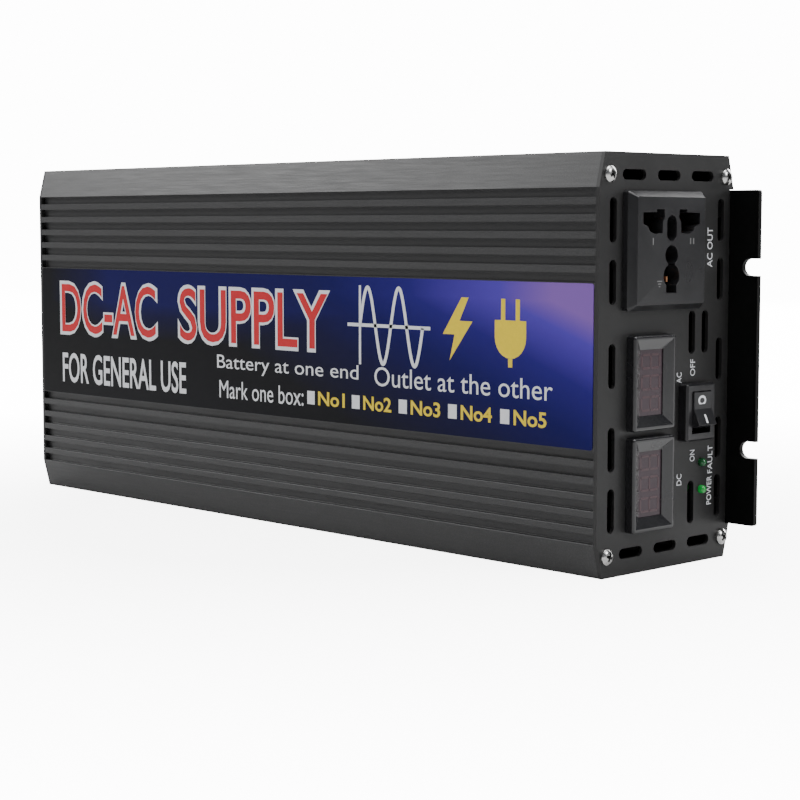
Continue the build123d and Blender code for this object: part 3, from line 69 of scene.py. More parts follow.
# Ways to lay flat work on a face: columns are right, up and outwards
ON_LABEL = Matrix(((1, 0, 0, 0), (0, 0, -1, 0), (0, 1, 0, 0), (0, 0, 0, 1)))
UP_THE_PANEL = Matrix(((0, 0, 1, 0), (0, -1, 0, 0), (1, 0, 0, 0), (0, 0, 0, 1)))
ON_PANEL = Matrix(((0, 0, 1, 0), (1, 0, 0, 0), (0, 1, 0, 0), (0, 0, 0, 1)))


# ---------------------------------------------------------------- node trees
class Nodes:
    """Shared by shader and geometry trees: adds nodes and joins their sockets."""

    def add(self, kind, inputs=None, **settings):
        """Add a node. An input is a number, a socket, or a list of sockets for a multi-input."""
        node = self.tree.nodes.new(kind)
        for name, value in settings.items():
            setattr(node, name, value)
        for key, value in (inputs or {}).items():
            for item in value if isinstance(value, list) else [value]:
                if isinstance(item, bpy.types.NodeSocket):
                    self.tree.links.new(item, node.inputs[key])
                else:
                    node.inputs[key].default_value = item
        return node

    def math(self, operation, first, second=0.0):
        """One step of arithmetic."""
        return self.add("ShaderNodeMath", {0: first, 1: second}, operation=operation).outputs[0]


class Finish(Nodes):
    """A material: one Principled shader and the nodes that feed it."""

    SOCKETS = {
        "colour": "Base Color", "metal": "Metallic", "rough": "Roughness", "ior": "IOR",
        "coat": "Coat Weight", "coat_rough": "Coat Roughness", "clear": "Transmission Weight",
        "glow": "Emission Strength", "glow_colour": "Emission Color", "normal": "Normal",
        "shine": "Specular IOR Level",
    }

    def __init__(self, name, **values):
        self.material = bpy.data.materials.new(name)
        self.material.use_nodes = True
        self.tree = self.material.node_tree
        self.shader = self.tree.nodes["Principled BSDF"]
        self.place = self.add("ShaderNodeTexCoord").outputs["Object"]
        self.set(**values)

    def set(self, **values):
        """Set shader sockets by their short names, to numbers or to other sockets."""
        for name, value in values.items():
            socket = self.shader.inputs[self.SOCKETS[name]]
            if isinstance(value, bpy.types.NodeSocket):
                self.tree.links.new(value, socket)
            elif "colour" in name:
                socket.default_value = (*value, 1)
            else:
                socket.default_value = value

    def noise(self, scale, detail=3.0, stretch=(1, 1, 1), shift=0.0):
        """Noise in the object's own space, finer along an axis with a larger stretch."""
        where = self.add("ShaderNodeMapping", {"Vector": self.place, "Scale": stretch,
                                               "Location": (shift, shift, shift)})
        return self.add("ShaderNodeTexNoise", {"Vector": where.outputs[0], "Scale": scale,
                                               "Detail": detail}).outputs[0]

    def axis(self, letter):
        """The object's own X, Y or Z as a value."""
        return self.add("ShaderNodeSeparateXYZ", {0: self.place}).outputs[letter]

    def between(self, value, start, end, low, high):
        """Map a value's range start to end onto low to high."""
        return self.add("ShaderNodeMapRange", {"Value": value, "From Min": start, "From Max": end,
                                               "To Min": low, "To Max": high}).outputs[0]

    def mix(self, factor, first, second):
        """Mix two colours, each given as three numbers or a socket."""
        pair = [c if isinstance(c, bpy.types.NodeSocket) else (*c, 1) for c in (first, second)]
        return self.add("ShaderNodeMix", {0: factor, 6: pair[0], 7: pair[1]},
                        data_type="RGBA").outputs[2]

    def ramp(self, value, stops):
        """Colour from a list of (position, colour) stops."""
        node = self.add("ShaderNodeValToRGB", {0: value})
        marks = node.color_ramp.elements
        for position, colour in stops[1:-1]:
            marks.new(position)
        for mark, (position, colour) in zip(marks, stops):
            mark.position = position
            mark.color = (*colour, 1)
        return node.outputs[0]

    def relief(self, height, strength, depth):
        """Bump from a height value, with its real depth in metres."""
        self.set(normal=self.add("ShaderNodeBump", {"Height": height, "Strength": strength,
                                                    "Distance": depth}).outputs[0])


class Shape(Nodes):
    """A geometry node tree with named sizes as its inputs."""

    def __init__(self, name, **sizes):
        self.tree = bpy.data.node_groups.new(name, "GeometryNodeTree")
        face = self.tree.interface
        face.new_socket("Geometry", in_out="INPUT", socket_type="NodeSocketGeometry")
        for label, value in sizes.items():
            kind = {int: "NodeSocketInt", tuple: "NodeSocketVector"}.get(type(value), "NodeSocketFloat")
            face.new_socket(label, in_out="INPUT", socket_type=kind).default_value = value
        face.new_socket("Geometry", in_out="OUTPUT", socket_type="NodeSocketGeometry")
        self.inputs = self.add("NodeGroupInput").outputs

    def vector(self, x=0.0, y=0.0, z=0.0):
        return self.add("ShaderNodeCombineXYZ", {0: x, 1: y, 2: z}).outputs[0]

    def position(self):
        """The X, Y and Z of each point, as three values."""
        where = self.add("GeometryNodeInputPosition").outputs[0]
        return self.add("ShaderNodeSeparateXYZ", {0: where}).outputs

    def place(self, geometry, chosen=True, at=None):
        """Move the chosen points to a new position."""
        return self.add("GeometryNodeSetPosition", {"Geometry": geometry, "Selection": chosen,
                                                    "Position": at}).outputs[0]

    def move(self, geometry, by=(0, 0, 0), turn=(0, 0, 0), scale=(1, 1, 1)):
        return self.add("GeometryNodeTransform", {"Geometry": geometry, "Translation": by,
                                                  "Rotation": turn, "Scale": scale}).outputs[0]

    def join(self, *parts):
        return self.add("GeometryNodeJoinGeometry", {0: list(reversed(parts))}).outputs[0]

    def cut(self, body, *tools):
        """Take the tools away from the body."""
        return self.add("GeometryNodeMeshBoolean", {0: body, 1: list(tools)},
                        operation="DIFFERENCE").outputs[0]

    def repeat(self, points, instance, turn=(0, 0, 0), scale=(1, 1, 1)):
        return self.add("GeometryNodeInstanceOnPoints", {"Points": points, "Instance": instance,
                                                         "Rotation": turn, "Scale": scale}).outputs[0]

    def output(self, geometry, finish):
        """End the tree: real geometry, with its material."""
        real = self.add("GeometryNodeRealizeInstances", {0: geometry}).outputs[0]
        coated = self.add("GeometryNodeSetMaterial", {"Geometry": real, "Material": finish.material})
        self.add("NodeGroupOutput", {0: coated.outputs[0]})
        return self


# ---------------------------------------------------------------- making pieces
def show(name, mesh):
    """Put a mesh in the scene as an object at the origin."""
    piece = bpy.data.objects.new(name, mesh)
    bpy.context.scene.collection.objects.link(piece)
    return piece


def settle(piece):
    """Turn an object's modifiers, or a text or curve, into plain mesh data."""
    bpy.context.view_layer.update()
    graph = bpy.context.evaluated_depsgraph_get()
    return bpy.data.meshes.new_from_object(piece.evaluated_get(graph))


def smooth(mesh, angle=35):
    """Shade smoothly, with edges sharper than the angle left crisp."""
    mesh.shade_smooth()
    mesh.set_sharp_from_angle(angle=math.radians(angle))


def keep(piece, body, stands_for=()):
    """Fix a finished piece to its body, and hide the CAD nodes it stands for."""
    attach(piece, body)
    if stands_for:
        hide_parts(*stands_for)
    return piece


def grow(name, shape, body, slot, points=((0, 0, 0),), stands_for=(), angle=35, **sizes):
    """Grow a geometry tree on some points, and keep the result as a plain mesh."""
    seeds = bpy.data.meshes.new(name)
    seeds.from_pydata(points, [], [])
    piece = show(name, seeds)
    modifier = piece.modifiers.new("Shape", "NODES")
    modifier.node_group = shape.tree
    for item in shape.tree.interface.items_tree:
        if item.name in sizes:
            modifier[item.identifier] = sizes[item.name]
    mesh = settle(piece)
    piece.modifiers.clear()
    piece.data = mesh
    smooth(mesh, angle)
    return keep(piece, body, stands_for)


def soften(node, body, finish, width, segments=3, angle=30):
    """Stand a copy of a CAD node, with its sharp edges rounded, in that node's place."""
    mesh = nodes[node].data.copy()
    work = bmesh.new()
    work.from_mesh(mesh)
    bmesh.ops.remove_doubles(work, verts=work.verts, dist=1e-6)
    bmesh.ops.dissolve_limit(work, angle_limit=math.radians(0.5), verts=work.verts, edges=work.edges)
    work.to_mesh(mesh)
    work.free()
    smooth(mesh, angle)
    piece = show(node + "_rounded", mesh)
    rounding = piece.modifiers.new("Rounding", "BEVEL")
    rounding.width = width
    rounding.segments = segments
    rounding.limit_method = "ANGLE"
    rounding.angle_limit = math.radians(angle)
    rounding.harden_normals = True
    mesh = settle(piece)
    piece.modifiers.clear()
    piece.data = mesh
    paint(piece, finish)
    return keep(piece, body, [node])


def paint(piece, finish):
    """Give the whole piece one finish."""
    piece.data.materials.clear()
    piece.data.materials.append(finish.material)
    for face in piece.data.polygons:
        face.material_index = 0


def coat(finish, *names):
    """Give shown CAD nodes a finish."""
    for name in names:
        nodes[name].data.materials.clear()
        nodes[name].data.materials.append(finish.material)


# ---------------------------------------------------------------- finishes
def case_coat():
    """Charcoal powder coat on an extrusion: fine grain, faint lengthwise draw lines."""
    f = Finish("charcoal_powder_coat", shine=0.6)
    cloud = f.noise(14, 2)
    grain = f.noise(2600, 2)
    draw = f.noise(60, 3, (1, 26, 26))
    tone = f.mix(cloud, (0.016, 0.016, 0.0165), (0.025, 0.025, 0.0255))
    f.set(colour=f.mix(f.between(grain, 0.42, 0.72, 0, 0.5), tone, (0.06, 0.06, 0.061)))
    f.set(rough=f.between(f.math("ADD", grain, draw), 0.6, 1.4, 0.36, 0.52))
    f.relief(f.math("ADD", grain, f.math("MULTIPLY", draw, 0.4)), 0.35, 0.00006)
    return f


def sheet_coat(name, dark, light, shine):
    """Satin coat on sheet metal, with a slight orange peel."""
    f = Finish(name, shine=shine)
    grain = f.noise(1900, 2)
    cloud = f.noise(25, 2)
    f.set(colour=f.mix(cloud, dark, light))
    f.set(rough=f.between(cloud, 0.3, 0.7, 0.36, 0.48))
    f.relief(grain, 0.25, 0.00005)
    return f


def label_film():
    """Label film: black at its start and foot, navy along its top, lighter violet towards its end, satin
    laminate.
    """
    f = Finish("printed_label_film", rough=0.4, shine=0.14)
    along = f.between(f.axis("X"), CASE_LOW.x, CASE_HIGH.x, 0, 1)
    rise = f.between(f.axis("Z"), MID_Z - 0.028, MID_Z + 0.022, -0.36, 0.06)
    drift = f.math("ADD", along, f.math("ADD", rise, f.between(f.noise(9, 2), 0, 1, -0.03, 0.03)))
    band = f.math("ADD", f.between(f.axis("Z"), MID_Z - 0.004, MID_Z + 0.014, 0.22, 0.62),
                  f.between(along, 0.02, 0.16, -0.34, 0))
    f.set(colour=f.ramp(f.math("MAXIMUM", drift, band), [
        (0.0, (0.002, 0.002, 0.003)), (0.28, (0.002, 0.002, 0.004)), (0.5, (0.001, 0.0008, 0.036)),
        (0.66, (0.002, 0.001, 0.085)), (0.8, (0.016, 0.008, 0.17)), (0.93, (0.08, 0.045, 0.4)),
        (1.0, (0.22, 0.11, 0.42)),
    ]))
    f.relief(f.noise(420, 2), 0.12, 0.00004)
    return f


def ink(name, colour):
    """Screen-printed ink, a little uneven in thickness."""
    f = Finish(name)
    film = f.noise(900, 2)
    f.set(colour=f.mix(film, colour, [c * 0.86 for c in colour]))
    f.set(rough=f.between(film, 0.3, 0.7, 0.38, 0.5))
    return f


def moulded(name, dark, light, rough, grain=1500, depth=0.00003, coated=0.0):
    """Moulded plastic: fine spark-eroded grain and slightly uneven sheen."""
    f = Finish(name, coat=coated, coat_rough=0.08)
    texture = f.noise(grain, 3)
    cloud = f.noise(60, 2)
    f.set(colour=f.mix(cloud, dark, light))
    f.set(rough=f.between(cloud, 0.3, 0.7, rough - 0.05, rough + 0.06))
    f.relief(texture, 0.3, depth)
    return f


def smoked_window():
    """Dark mauve filter over a display."""
    f = Finish("smoked_red_window", shine=0.3, coat=0.1, coat_rough=0.05)
    haze = f.noise(90, 2)
    f.set(colour=f.mix(haze, (0.036, 0.022, 0.029), (0.05, 0.031, 0.04)))
    f.set(rough=f.between(haze, 0.3, 0.7, 0.12, 0.2))
    return f


def lamp_lens(name, dark, light, glow):
    """Green lamp lens; a lit one glows only in front of the panel."""
    f = Finish(name, ior=1.5, clear=0.15, glow=glow, coat=0.5)
    front = f.between(f.axis("X"), OUTLET_FACE - 0.0002, OUTLET_FACE + 0.0002, 0, 1)
    f.set(glow_colour=f.mix(front, (0, 0, 0), (0.02, 1.0, 0.12)))
    f.set(colour=f.mix(f.noise(700, 2), dark, light))
    f.set(rough=f.between(f.noise(300, 2), 0.3, 0.7, 0.15, 0.25))
    return f


def worked_metal(name, dark, light, rough, stretch=(1, 1, 1), scale=260):
    """Bare metal with fine working marks and a little tarnish."""
    f = Finish(name, metal=1.0)
    marks = f.noise(scale, 4, stretch)
    tarnish = f.noise(70, 3, shift=3.0)
    f.set(colour=f.mix(tarnish, dark, light))
    f.set(rough=f.between(f.math("ADD", marks, tarnish), 0.7, 1.3, rough - 0.08, rough + 0.12))
    f.relief(marks, 0.2, 0.00004)
    return f


def circuit_board():
    """Green solder mask over copper tracks and pads."""
    f = Finish("circuit_board", coat=0.3, coat_rough=0.2)
    tracks = f.add("ShaderNodeTexBrick", {"Vector": f.place, "Scale": 130.0,
                                          "Mortar Size": 0.035, "Color1": (0, 0, 0, 1),
                                          "Color2": (0, 0, 0, 1), "Mortar": (1, 1, 1, 1)}).outputs[0]
    pads = f.add("ShaderNodeTexVoronoi", {"Vector": f.place, "Scale": 240.0}).outputs[0]
    pad = f.between(pads, 0.16, 0.2, 1, 0)
    green = f.mix(f.noise(40, 2), (0.012, 0.09, 0.035), (0.02, 0.14, 0.055))
    tracked = f.mix(tracks, green, (0.03, 0.2, 0.08))
    f.set(colour=f.mix(pad, tracked, (0.55, 0.5, 0.42)), metal=f.between(pad, 0, 1, 0, 0.8))
    f.set(rough=f.between(pad, 0, 1, 0.32, 0.3))
    f.relief(f.math("ADD", tracks, pad), 0.4, 0.0001)
    return f


def lacquered_winding():
    """Enamelled copper wound in layers."""
    f = Finish("lacquered_winding", metal=0.85, coat=0.6, coat_rough=0.15)
    layers = f.add("ShaderNodeTexWave", {"Vector": f.place, "Scale": 220.0, "Distortion": 0.6,
                                         "Detail": 1.0}, bands_direction="Z").outputs[1]
    f.set(colour=f.mix(layers, (0.2, 0.06, 0.02), (0.62, 0.27, 0.11)))
    f.set(rough=f.between(layers, 0, 1, 0.42, 0.28))
    f.relief(layers, 0.7, 0.0003)
    return f


def sleeve(name, dark, light):
    """Shrink sleeve on a capacitor, with a pale polarity band."""
    f = Finish(name, coat=0.4, coat_rough=0.12)
    band = f.add("ShaderNodeTexWave", {"Vector": f.place, "Scale": 36.0}, bands_direction="X").outputs[1]
    mark = f.between(band, 0.93, 0.97, 0, 1)
    f.set(colour=f.mix(mark, f.mix(f.noise(80, 2), dark, light), (0.5, 0.52, 0.55)))
    f.set(rough=f.between(f.noise(200, 2), 0.3, 0.7, 0.28, 0.4))
    return f


def make_finishes():
    """Every finish of the object, by name."""
    return {
        "case": case_coat(),
        "panel": sheet_coat("satin_charcoal_coat", (0.012, 0.012, 0.012), (0.021, 0.021, 0.021), 0.45),
        "plate": sheet_coat("black_plate_coat", (0.002, 0.002, 0.002), (0.004, 0.004, 0.004), 0.12),
        "label": label_film(),
        "white_ink": ink("white_ink", (0.82, 0.83, 0.86)),
        "red_ink": ink("red_ink", (0.6, 0.0, 0.006)),
        "mark_ink": ink("grey_mark", (0.16, 0.16, 0.16)),
        # recess: near-black finish for the crosses inside the screw recesses, painted shade standing in for
        # the shadow in them
        "recess": moulded("painted_recess_shade", (0.004, 0.004, 0.004), (0.008, 0.008, 0.008), 0.6),
        "yellow_ink": ink("yellow_ink", (0.9, 0.66, 0.01)),
        "satin_black": moulded("satin_black_plastic", (0.010, 0.010, 0.011), (0.018, 0.018, 0.02), 0.32),
        "gloss_black": moulded("glossy_black_plastic", (0.008, 0.008, 0.009), (0.014, 0.014, 0.016), 0.24,
                               900, 0.00001, 0.5),
        "red_plastic": moulded("red_plastic", (0.42, 0.012, 0.012), (0.58, 0.025, 0.02), 0.3,
                               1300, 0.00002, 0.4),
        "window": smoked_window(),
        "digit": moulded("unlit_display_segment", (0.055, 0.027, 0.033), (0.07, 0.034, 0.042), 0.3),
        "display": moulded("display_block", (0.05, 0.02, 0.022), (0.07, 0.03, 0.03), 0.5),
        "power_lens": lamp_lens("lit_green_lens", (0.004, 0.14, 0.02), (0.008, 0.24, 0.04), 0.14),
        "fault_lens": lamp_lens("dark_green_lens", (0.004, 0.09, 0.02), (0.008, 0.14, 0.035), 0.0),
        "zinc": worked_metal("bright_zinc", (0.42, 0.42, 0.42), (0.8, 0.79, 0.77), 0.2),
        "wire": worked_metal("plated_wire", (0.55, 0.56, 0.57), (0.75, 0.76, 0.77), 0.22),
        "brass": worked_metal("brass", (0.55, 0.33, 0.12), (0.78, 0.55, 0.25), 0.3),
        "copper": worked_metal("copper_spring", (0.6, 0.26, 0.12), (0.85, 0.45, 0.25), 0.3),
        "aluminium": worked_metal("milled_aluminium", (0.6, 0.6, 0.62), (0.78, 0.78, 0.79), 0.34,
                                  (4, 60, 4), 20),
        "board": circuit_board(),
        "winding": lacquered_winding(),
        "ferrite": moulded("grey_ferrite", (0.05, 0.05, 0.052), (0.09, 0.09, 0.092), 0.6, 700, 0.00008),
        "blue_sleeve": sleeve("blue_capacitor_sleeve", (0.01, 0.015, 0.07), (0.02, 0.03, 0.11)),
        "black_sleeve": sleeve("black_capacitor_sleeve", (0.012, 0.012, 0.013), (0.025, 0.025, 0.027)),
        "fuse": moulded("amber_fuse_body", (0.7, 0.38, 0.03), (0.85, 0.5, 0.06), 0.2, 900, 0.00001, 0.5),
        "sheath": moulded("wire_sheath", (0.02, 0.02, 0.022), (0.035, 0.035, 0.038), 0.42),
        "chip": moulded("chip_package", (0.015, 0.015, 0.016), (0.03, 0.03, 0.032), 0.5, 2200, 0.00003),
    }


# ---------------------------------------------------------------- screws
def cross_head_screw(finish):
    """A domed head with a cross recess at each point, each turned by chance."""
    s = Shape("Cross-head screw", Radius=2.85 * MM, Height=1.9 * MM, Dome=0.55, Sink=0.0,
              Recess_length=3.1 * MM, Recess_width=1.0 * MM, Recess_depth=1.75 * MM, Facing=(0, 0, 1),
              Seed=3)
    size = s.inputs
    head = s.add("GeometryNodeMeshCylinder", {"Vertices": 40, "Side Segments": 1, "Fill Segments": 9,
                                              "Radius": size["Radius"], "Depth": size["Height"]},
                 fill_type="TRIANGLE_FAN").outputs["Mesh"]
    x, y, z = s.position()
    across = s.math("SQRT", s.math("ADD", s.math("MULTIPLY", x, x), s.math("MULTIPLY", y, y)))
    reach = s.math("POWER", s.math("DIVIDE", across, size["Radius"]), 3.2)
    drop = s.math("MULTIPLY", s.math("MULTIPLY", reach, size["Dome"]), size["Height"])
    top = s.add("FunctionNodeCompare", {0: z, 1: 0.0}, operation="GREATER_THAN").outputs[0]
    head = s.place(head, top, s.vector(x, y, s.math("SUBTRACT", z, drop)))
    half = s.math("MULTIPLY", size["Height"], 0.5)
    head = s.move(head, s.vector(z=s.math("SUBTRACT", half, size["Sink"])))
    crown = s.math("SUBTRACT", size["Height"], size["Sink"])
    bars = []
    for length, width in (("Recess_length", "Recess_width"), ("Recess_width", "Recess_length")):
        block = s.vector(size[length], size[width], s.math("MULTIPLY", size["Recess_depth"], 2.0))
        bar = s.add("GeometryNodeMeshCube", {"Size": block}).outputs["Mesh"]
        bars.append(s.move(bar, s.vector(z=crown)))
    head = s.cut(head, *bars)
    return s.output(s.repeat(size["Geometry"], head, faced_by_chance(s)), finish)


def faced_by_chance(s):
    """Turn each copy to face one way, rolled about that way by a chance angle."""
    facing = s.add("FunctionNodeAlignRotationToVector", {"Vector": s.inputs["Facing"]}, axis="Z").outputs[0]
    chance = s.add("FunctionNodeRandomValue", {2: 0.0, 3: TURN, "Seed": s.inputs["Seed"]},
                   data_type="FLOAT").outputs[1]
    roll = s.add("FunctionNodeEulerToRotation", {0: s.vector(z=chance)}).outputs[0]
    return s.add("FunctionNodeRotateRotation", {0: facing, 1: roll}, rotation_space="LOCAL").outputs[0]


def recess_shade_cross(finish):
    """A dark cross near the bottom of a cross recess at each point, turned like its screw: painted shade
    standing in for the shadow inside the recess.
    """
    s = Shape("Painted recess shade", Length=3.0 * MM, Width=0.9 * MM, Level=1.35 * MM, Facing=(0, 0, 1), Seed=3)
    size = s.inputs
    bars = []
    for along, across in (("Length", "Width"), ("Width", "Length")):
        block = s.vector(size[along], size[across], 0.3 * MM)
        bars.append(s.add("GeometryNodeMeshCube", {"Size": block}).outputs["Mesh"])
    cross = s.move(s.join(*bars), s.vector(z=size["Level"]))
    return s.output(s.repeat(size["Geometry"], cross, faced_by_chance(s)), finish)


def solids(node):
    """Centres of the separate solids in a CAD node."""
    work = bmesh.new()
    work.from_mesh(nodes[node].data)
    bmesh.ops.remove_doubles(work, verts=work.verts, dist=1e-6)
    found, seen = [], set()
    for first in work.verts:
        if first in seen:
            continue
        group, queue = [], [first]
        seen.add(first)
        while queue:
            vertex = queue.pop()
            group.append(vertex.co.copy())
            for edge in vertex.link_edges:
                other = edge.other_vert(vertex)
                if other not in seen:
                    seen.add(other)
                    queue.append(other)
        low = Vector([min(c[i] for c in group) for i in range(3)])
        high = Vector([max(c[i] for c in group) for i in range(3)])
        found.append((low + high) / 2)
    work.free()
    return found


def make_screws(f):
    """The corner screws of both end panels and the flat-head screws of the base plate."""
    head, floor = cross_head_screw(f["zinc"]), recess_shade_cross(f["recess"])
    for node, face, way in (("ac_panel_screws", OUTLET_FACE, 1), ("dc_panel_screws", BATTERY_FACE, -1)):
        seats = [(face, c.y, c.z) for c in solids(node)]
        grow(node + "_heads", head, "case", "steel_screw", seats, [node], Facing=(way, 0, 0))
        # Dark crosses inside the panel screws' recesses: painted shade for the shadow in each recess
        grow(node + "_painted_recess_shades", floor, "case", "steel_screw", seats, Facing=(way, 0, 0))
    seats = [(c.x, BACK_FACE, c.z) for c in solids("base_screws")]
    grow("base_screw_heads", head, "case", "steel_screw", seats, ["base_screws"], Facing=(0, 1, 0),
         Radius=3.0 * MM, Height=0.5 * MM, Dome=0.1, Sink=0.55 * MM, Recess_depth=0.4 * MM)


# ---------------------------------------------------------------- printing
class Print:
    """Flat printed work in one ink on one face, gathered into one piece."""

    def __init__(self, name, finish, face, level, lift=FILM):
        self.name, self.finish = name, finish
        self.base = Matrix.Translation(Vector(level)) @ face
        self.lift = lift
        self.work = bmesh.new()

    def take(self, mesh, at):
        """Lay a flat mesh, drawn about its own middle, at a place on the face."""
        mesh.transform(self.base @ Matrix.Translation((at[0], at[1], self.lift)))
        self.work.from_mesh(mesh)
        bpy.data.meshes.remove(mesh)

    def words(self, text, at, width, height, weight=0.0):
        """Lettering fitted to a width and height about its centre."""
        curve = bpy.data.curves.new(text, "FONT")
        curve.body, curve.offset, curve.resolution_u = text, weight, 4
        piece = show(text, curve)
        mesh = settle(piece)
        bpy.data.objects.remove(piece)
        low = Vector([min(v.co[i] for v in mesh.vertices) for i in range(3)])
        high = Vector([max(v.co[i] for v in mesh.vertices) for i in range(3)])
        size = high - low
        fit = Matrix.Diagonal((width / size.x, height / size.y, 1, 1))
        mesh.transform(fit @ Matrix.Translation(-(low + high) / 2))
        self.take(mesh, at)

    def outline(self, points, at):
        """A filled outline of a few corner points."""
        mesh = bpy.data.meshes.new("outline")
        mesh.from_pydata([(x, y, 0) for x, y in points], [], [range(len(points))])
        self.take(mesh, at)

    def box(self, at, width, height):
        """A filled rectangle about a place."""
        x, y = width / 2, height / 2
        self.outline([(-x, -y), (x, -y), (x, y), (-x, y)], at)

    def ring(self, at, wide, tall, line, steps=40):
        """A flat elliptical ring."""
        turns = [TURN * i / steps for i in range(steps)]
        edges = (wide - line, tall - line), (wide, tall)
        corners = [(a * math.cos(t), b * math.sin(t), 0) for a, b in edges for t in turns]
        faces = [(i, i + steps, (i + 1) % steps + steps, (i + 1) % steps) for i in range(steps)]
        mesh = bpy.data.meshes.new("ring")
        mesh.from_pydata(corners, [], faces)
        self.take(mesh, at)

    def finish_piece(self, body, slot):
        """Give the print a thin film thickness and fix it to its body."""
        mesh = bpy.data.meshes.new(self.name)
        bmesh.ops.remove_doubles(self.work, verts=self.work.verts, dist=1e-7)
        self.work.to_mesh(mesh)
        self.work.free()
        piece = show(self.name, mesh)
        film = piece.modifiers.new("Film", "SOLIDIFY")
        film.thickness, film.offset = FILM, 1.0
        mesh = settle(piece)
        mesh.polygons.foreach_set("use_smooth", [False] * len(mesh.polygons))
        piece.modifiers.clear()
        piece.data = mesh
        paint(piece, self.finish)
        return keep(piece, body)


BOX_ROW = -19.5 * MM        # the label's row of boxes, below its middle
FIRST_BOX = 21.5 * MM
BOX_PITCH = 26 * MM


def draw_bolt(work, at):
    """A lightning bolt of seven corners."""
    work.outline([(0.002, 0.0115), (-0.0075, -0.002), (-0.0015, -0.002), (-0.004, -0.0115),
                  (0.0075, 0.003), (0.001, 0.003), (0.0055, 0.0115)], at)


def draw_plug(work, at):
    """A plug with two pins, a round-bottomed body and the start of its cord."""
    x, y = at
    half, rim, round_middle = 0.0075, 0.004, -0.002
    for pin in (-0.0035, 0.0035):
        work.box((x + pin, y + 0.00775), 0.002, 0.0075)
    arc = [math.radians(180 + 15 * i) for i in range(13)]
    cup = [(half * math.cos(a), half * math.sin(a) + round_middle) for a in arc]
    work.outline([(half, rim), (-half, rim)] + cup, at)
    work.box((x, y - 0.011), 0.002, 0.003)


def print_label(f):
    """Generic words, numbered boxes and pictograms on the printed film."""
    level = (0, LABEL_FACE, MID_Z)
    white = Print("label_white_print", f["white_ink"], ON_LABEL, level)
    outline = Print("label_heading_outline", f["white_ink"], ON_LABEL, level)
    red = Print("label_heading", f["red_ink"], ON_LABEL, level, 0.05 * MM)
    yellow = Print("label_yellow_print", f["yellow_ink"], ON_LABEL, level)
    for text, x, width in (("DC-AC", -0.115, 0.074), ("SUPPLY", -0.0155, 0.097)):
        outline.words(text, (x, 0.0105), width, 0.025, weight=0.04)
        red.words(text, (x, 0.0105), width - 0.003, 0.022, weight=0.008)
    white.words("FOR GENERAL USE", (-0.1045, -0.0165), 0.092, 0.0135, weight=0.012)
    small = 0.0073
    white.words("Battery at one end", (0.0058, -0.009), 0.0865, small)
    white.words("Outlet at the other", (0.103, -0.009), 0.090, small)
    white.words("Mark one box:", (-0.0095, BOX_ROW), 0.053, small)
    for number in range(1, 6):
        x = FIRST_BOX + (number - 1) * BOX_PITCH
        white.box((x, BOX_ROW), 0.0044, 0.0052)
        yellow.words(f"No{number}", (x + 0.012, BOX_ROW), 0.0155, 0.0055, weight=0.02)
    draw_bolt(yellow, (0.102, 0.0105))
    draw_plug(yellow, (0.128, 0.0105))
    for work in (white, outline, red, yellow):
        work.finish_piece("case", "label_film")


def wave_ribbon(finish):
    """A flat ribbon bent along a sine wave."""
    s = Shape("Sine ribbon", Length=0.034, Swing=0.0143, Periods=2.0, Width=1.5 * MM, Thickness=0.03 * MM)
    size = s.inputs
    line = s.add("GeometryNodeCurvePrimitiveLine", {"End": s.vector(x=size["Length"])}).outputs[0]
    line = s.add("GeometryNodeResampleCurve", {"Curve": line, "Count": 120}).outputs[0]
    x, y, z = s.position()
    phase = s.math("MULTIPLY", s.math("DIVIDE", x, size["Length"]), s.math("MULTIPLY", size["Periods"], TURN))
    wave = s.vector(x, s.math("MULTIPLY", s.math("SINE", phase), size["Swing"]), 0.0)
    line = s.place(line, True, wave)
    strip = s.add("GeometryNodeCurvePrimitiveQuadrilateral", {"Width": size["Width"],
                                                              "Height": size["Thickness"]}).outputs[0]
    line = s.add("GeometryNodeSetCurveNormal", {"Curve": line}, mode="Z_UP").outputs[0]
    ribbon = s.add("GeometryNodeCurveToMesh", {"Curve": line, "Profile Curve": strip,
                                               "Fill Caps": True}).outputs[0]
    stood = s.move(ribbon, turn=(math.pi / 2, 0, 0))
    return s.output(s.repeat(size["Geometry"], stood), finish)


def print_wave(f):
    """The sine pictogram in the middle of the label, with its two axes."""
    ribbon = wave_ribbon(f["white_ink"])
    level, middle_z = LABEL_FACE - FILM, MID_Z + 10.1 * MM
    grow("label_wave", ribbon, "case", "label_film", [(0.050, level, middle_z)])
    grow("label_wave_base", ribbon, "case", "label_film", [(0.043, level, middle_z)],
         Length=0.045, Swing=0.0, Width=1.3 * MM)
    axis = Print("label_wave_axis", f["white_ink"], ON_LABEL, (0, LABEL_FACE, MID_Z))
    axis.box((0.050, 0.0101), 0.0012, 0.03)
    axis.finish_piece("case", "label_film")


def print_panel(f):
    """Generic control legends on the outlet panel, read from bottom to top."""
    legends = Print("panel_legends", f["white_ink"], UP_THE_PANEL, (OUTLET_FACE, 0, 0))
    for text, y, z, length, height in (
        ("AC OUT", 23.5, 112.4, 14.0, 3.0), ("OFF", 14.5, 70.0, 5.9, 2.7), ("AC", 6.9, 66.7, 3.8, 2.7),
        ("ON", 14.9, 38.5, 4.1, 2.7), ("DC", 7.55, 30.5, 4.0, 2.7), ("FAULT", 25.3, 36.4, 10.1, 2.7),
        ("POWER", 24.9, 25.2, 10.3, 2.7),
    ):
        legends.words(text, (z * MM, -y * MM), length * MM, height * MM)
    legends.finish_piece("case", "panel_coat")


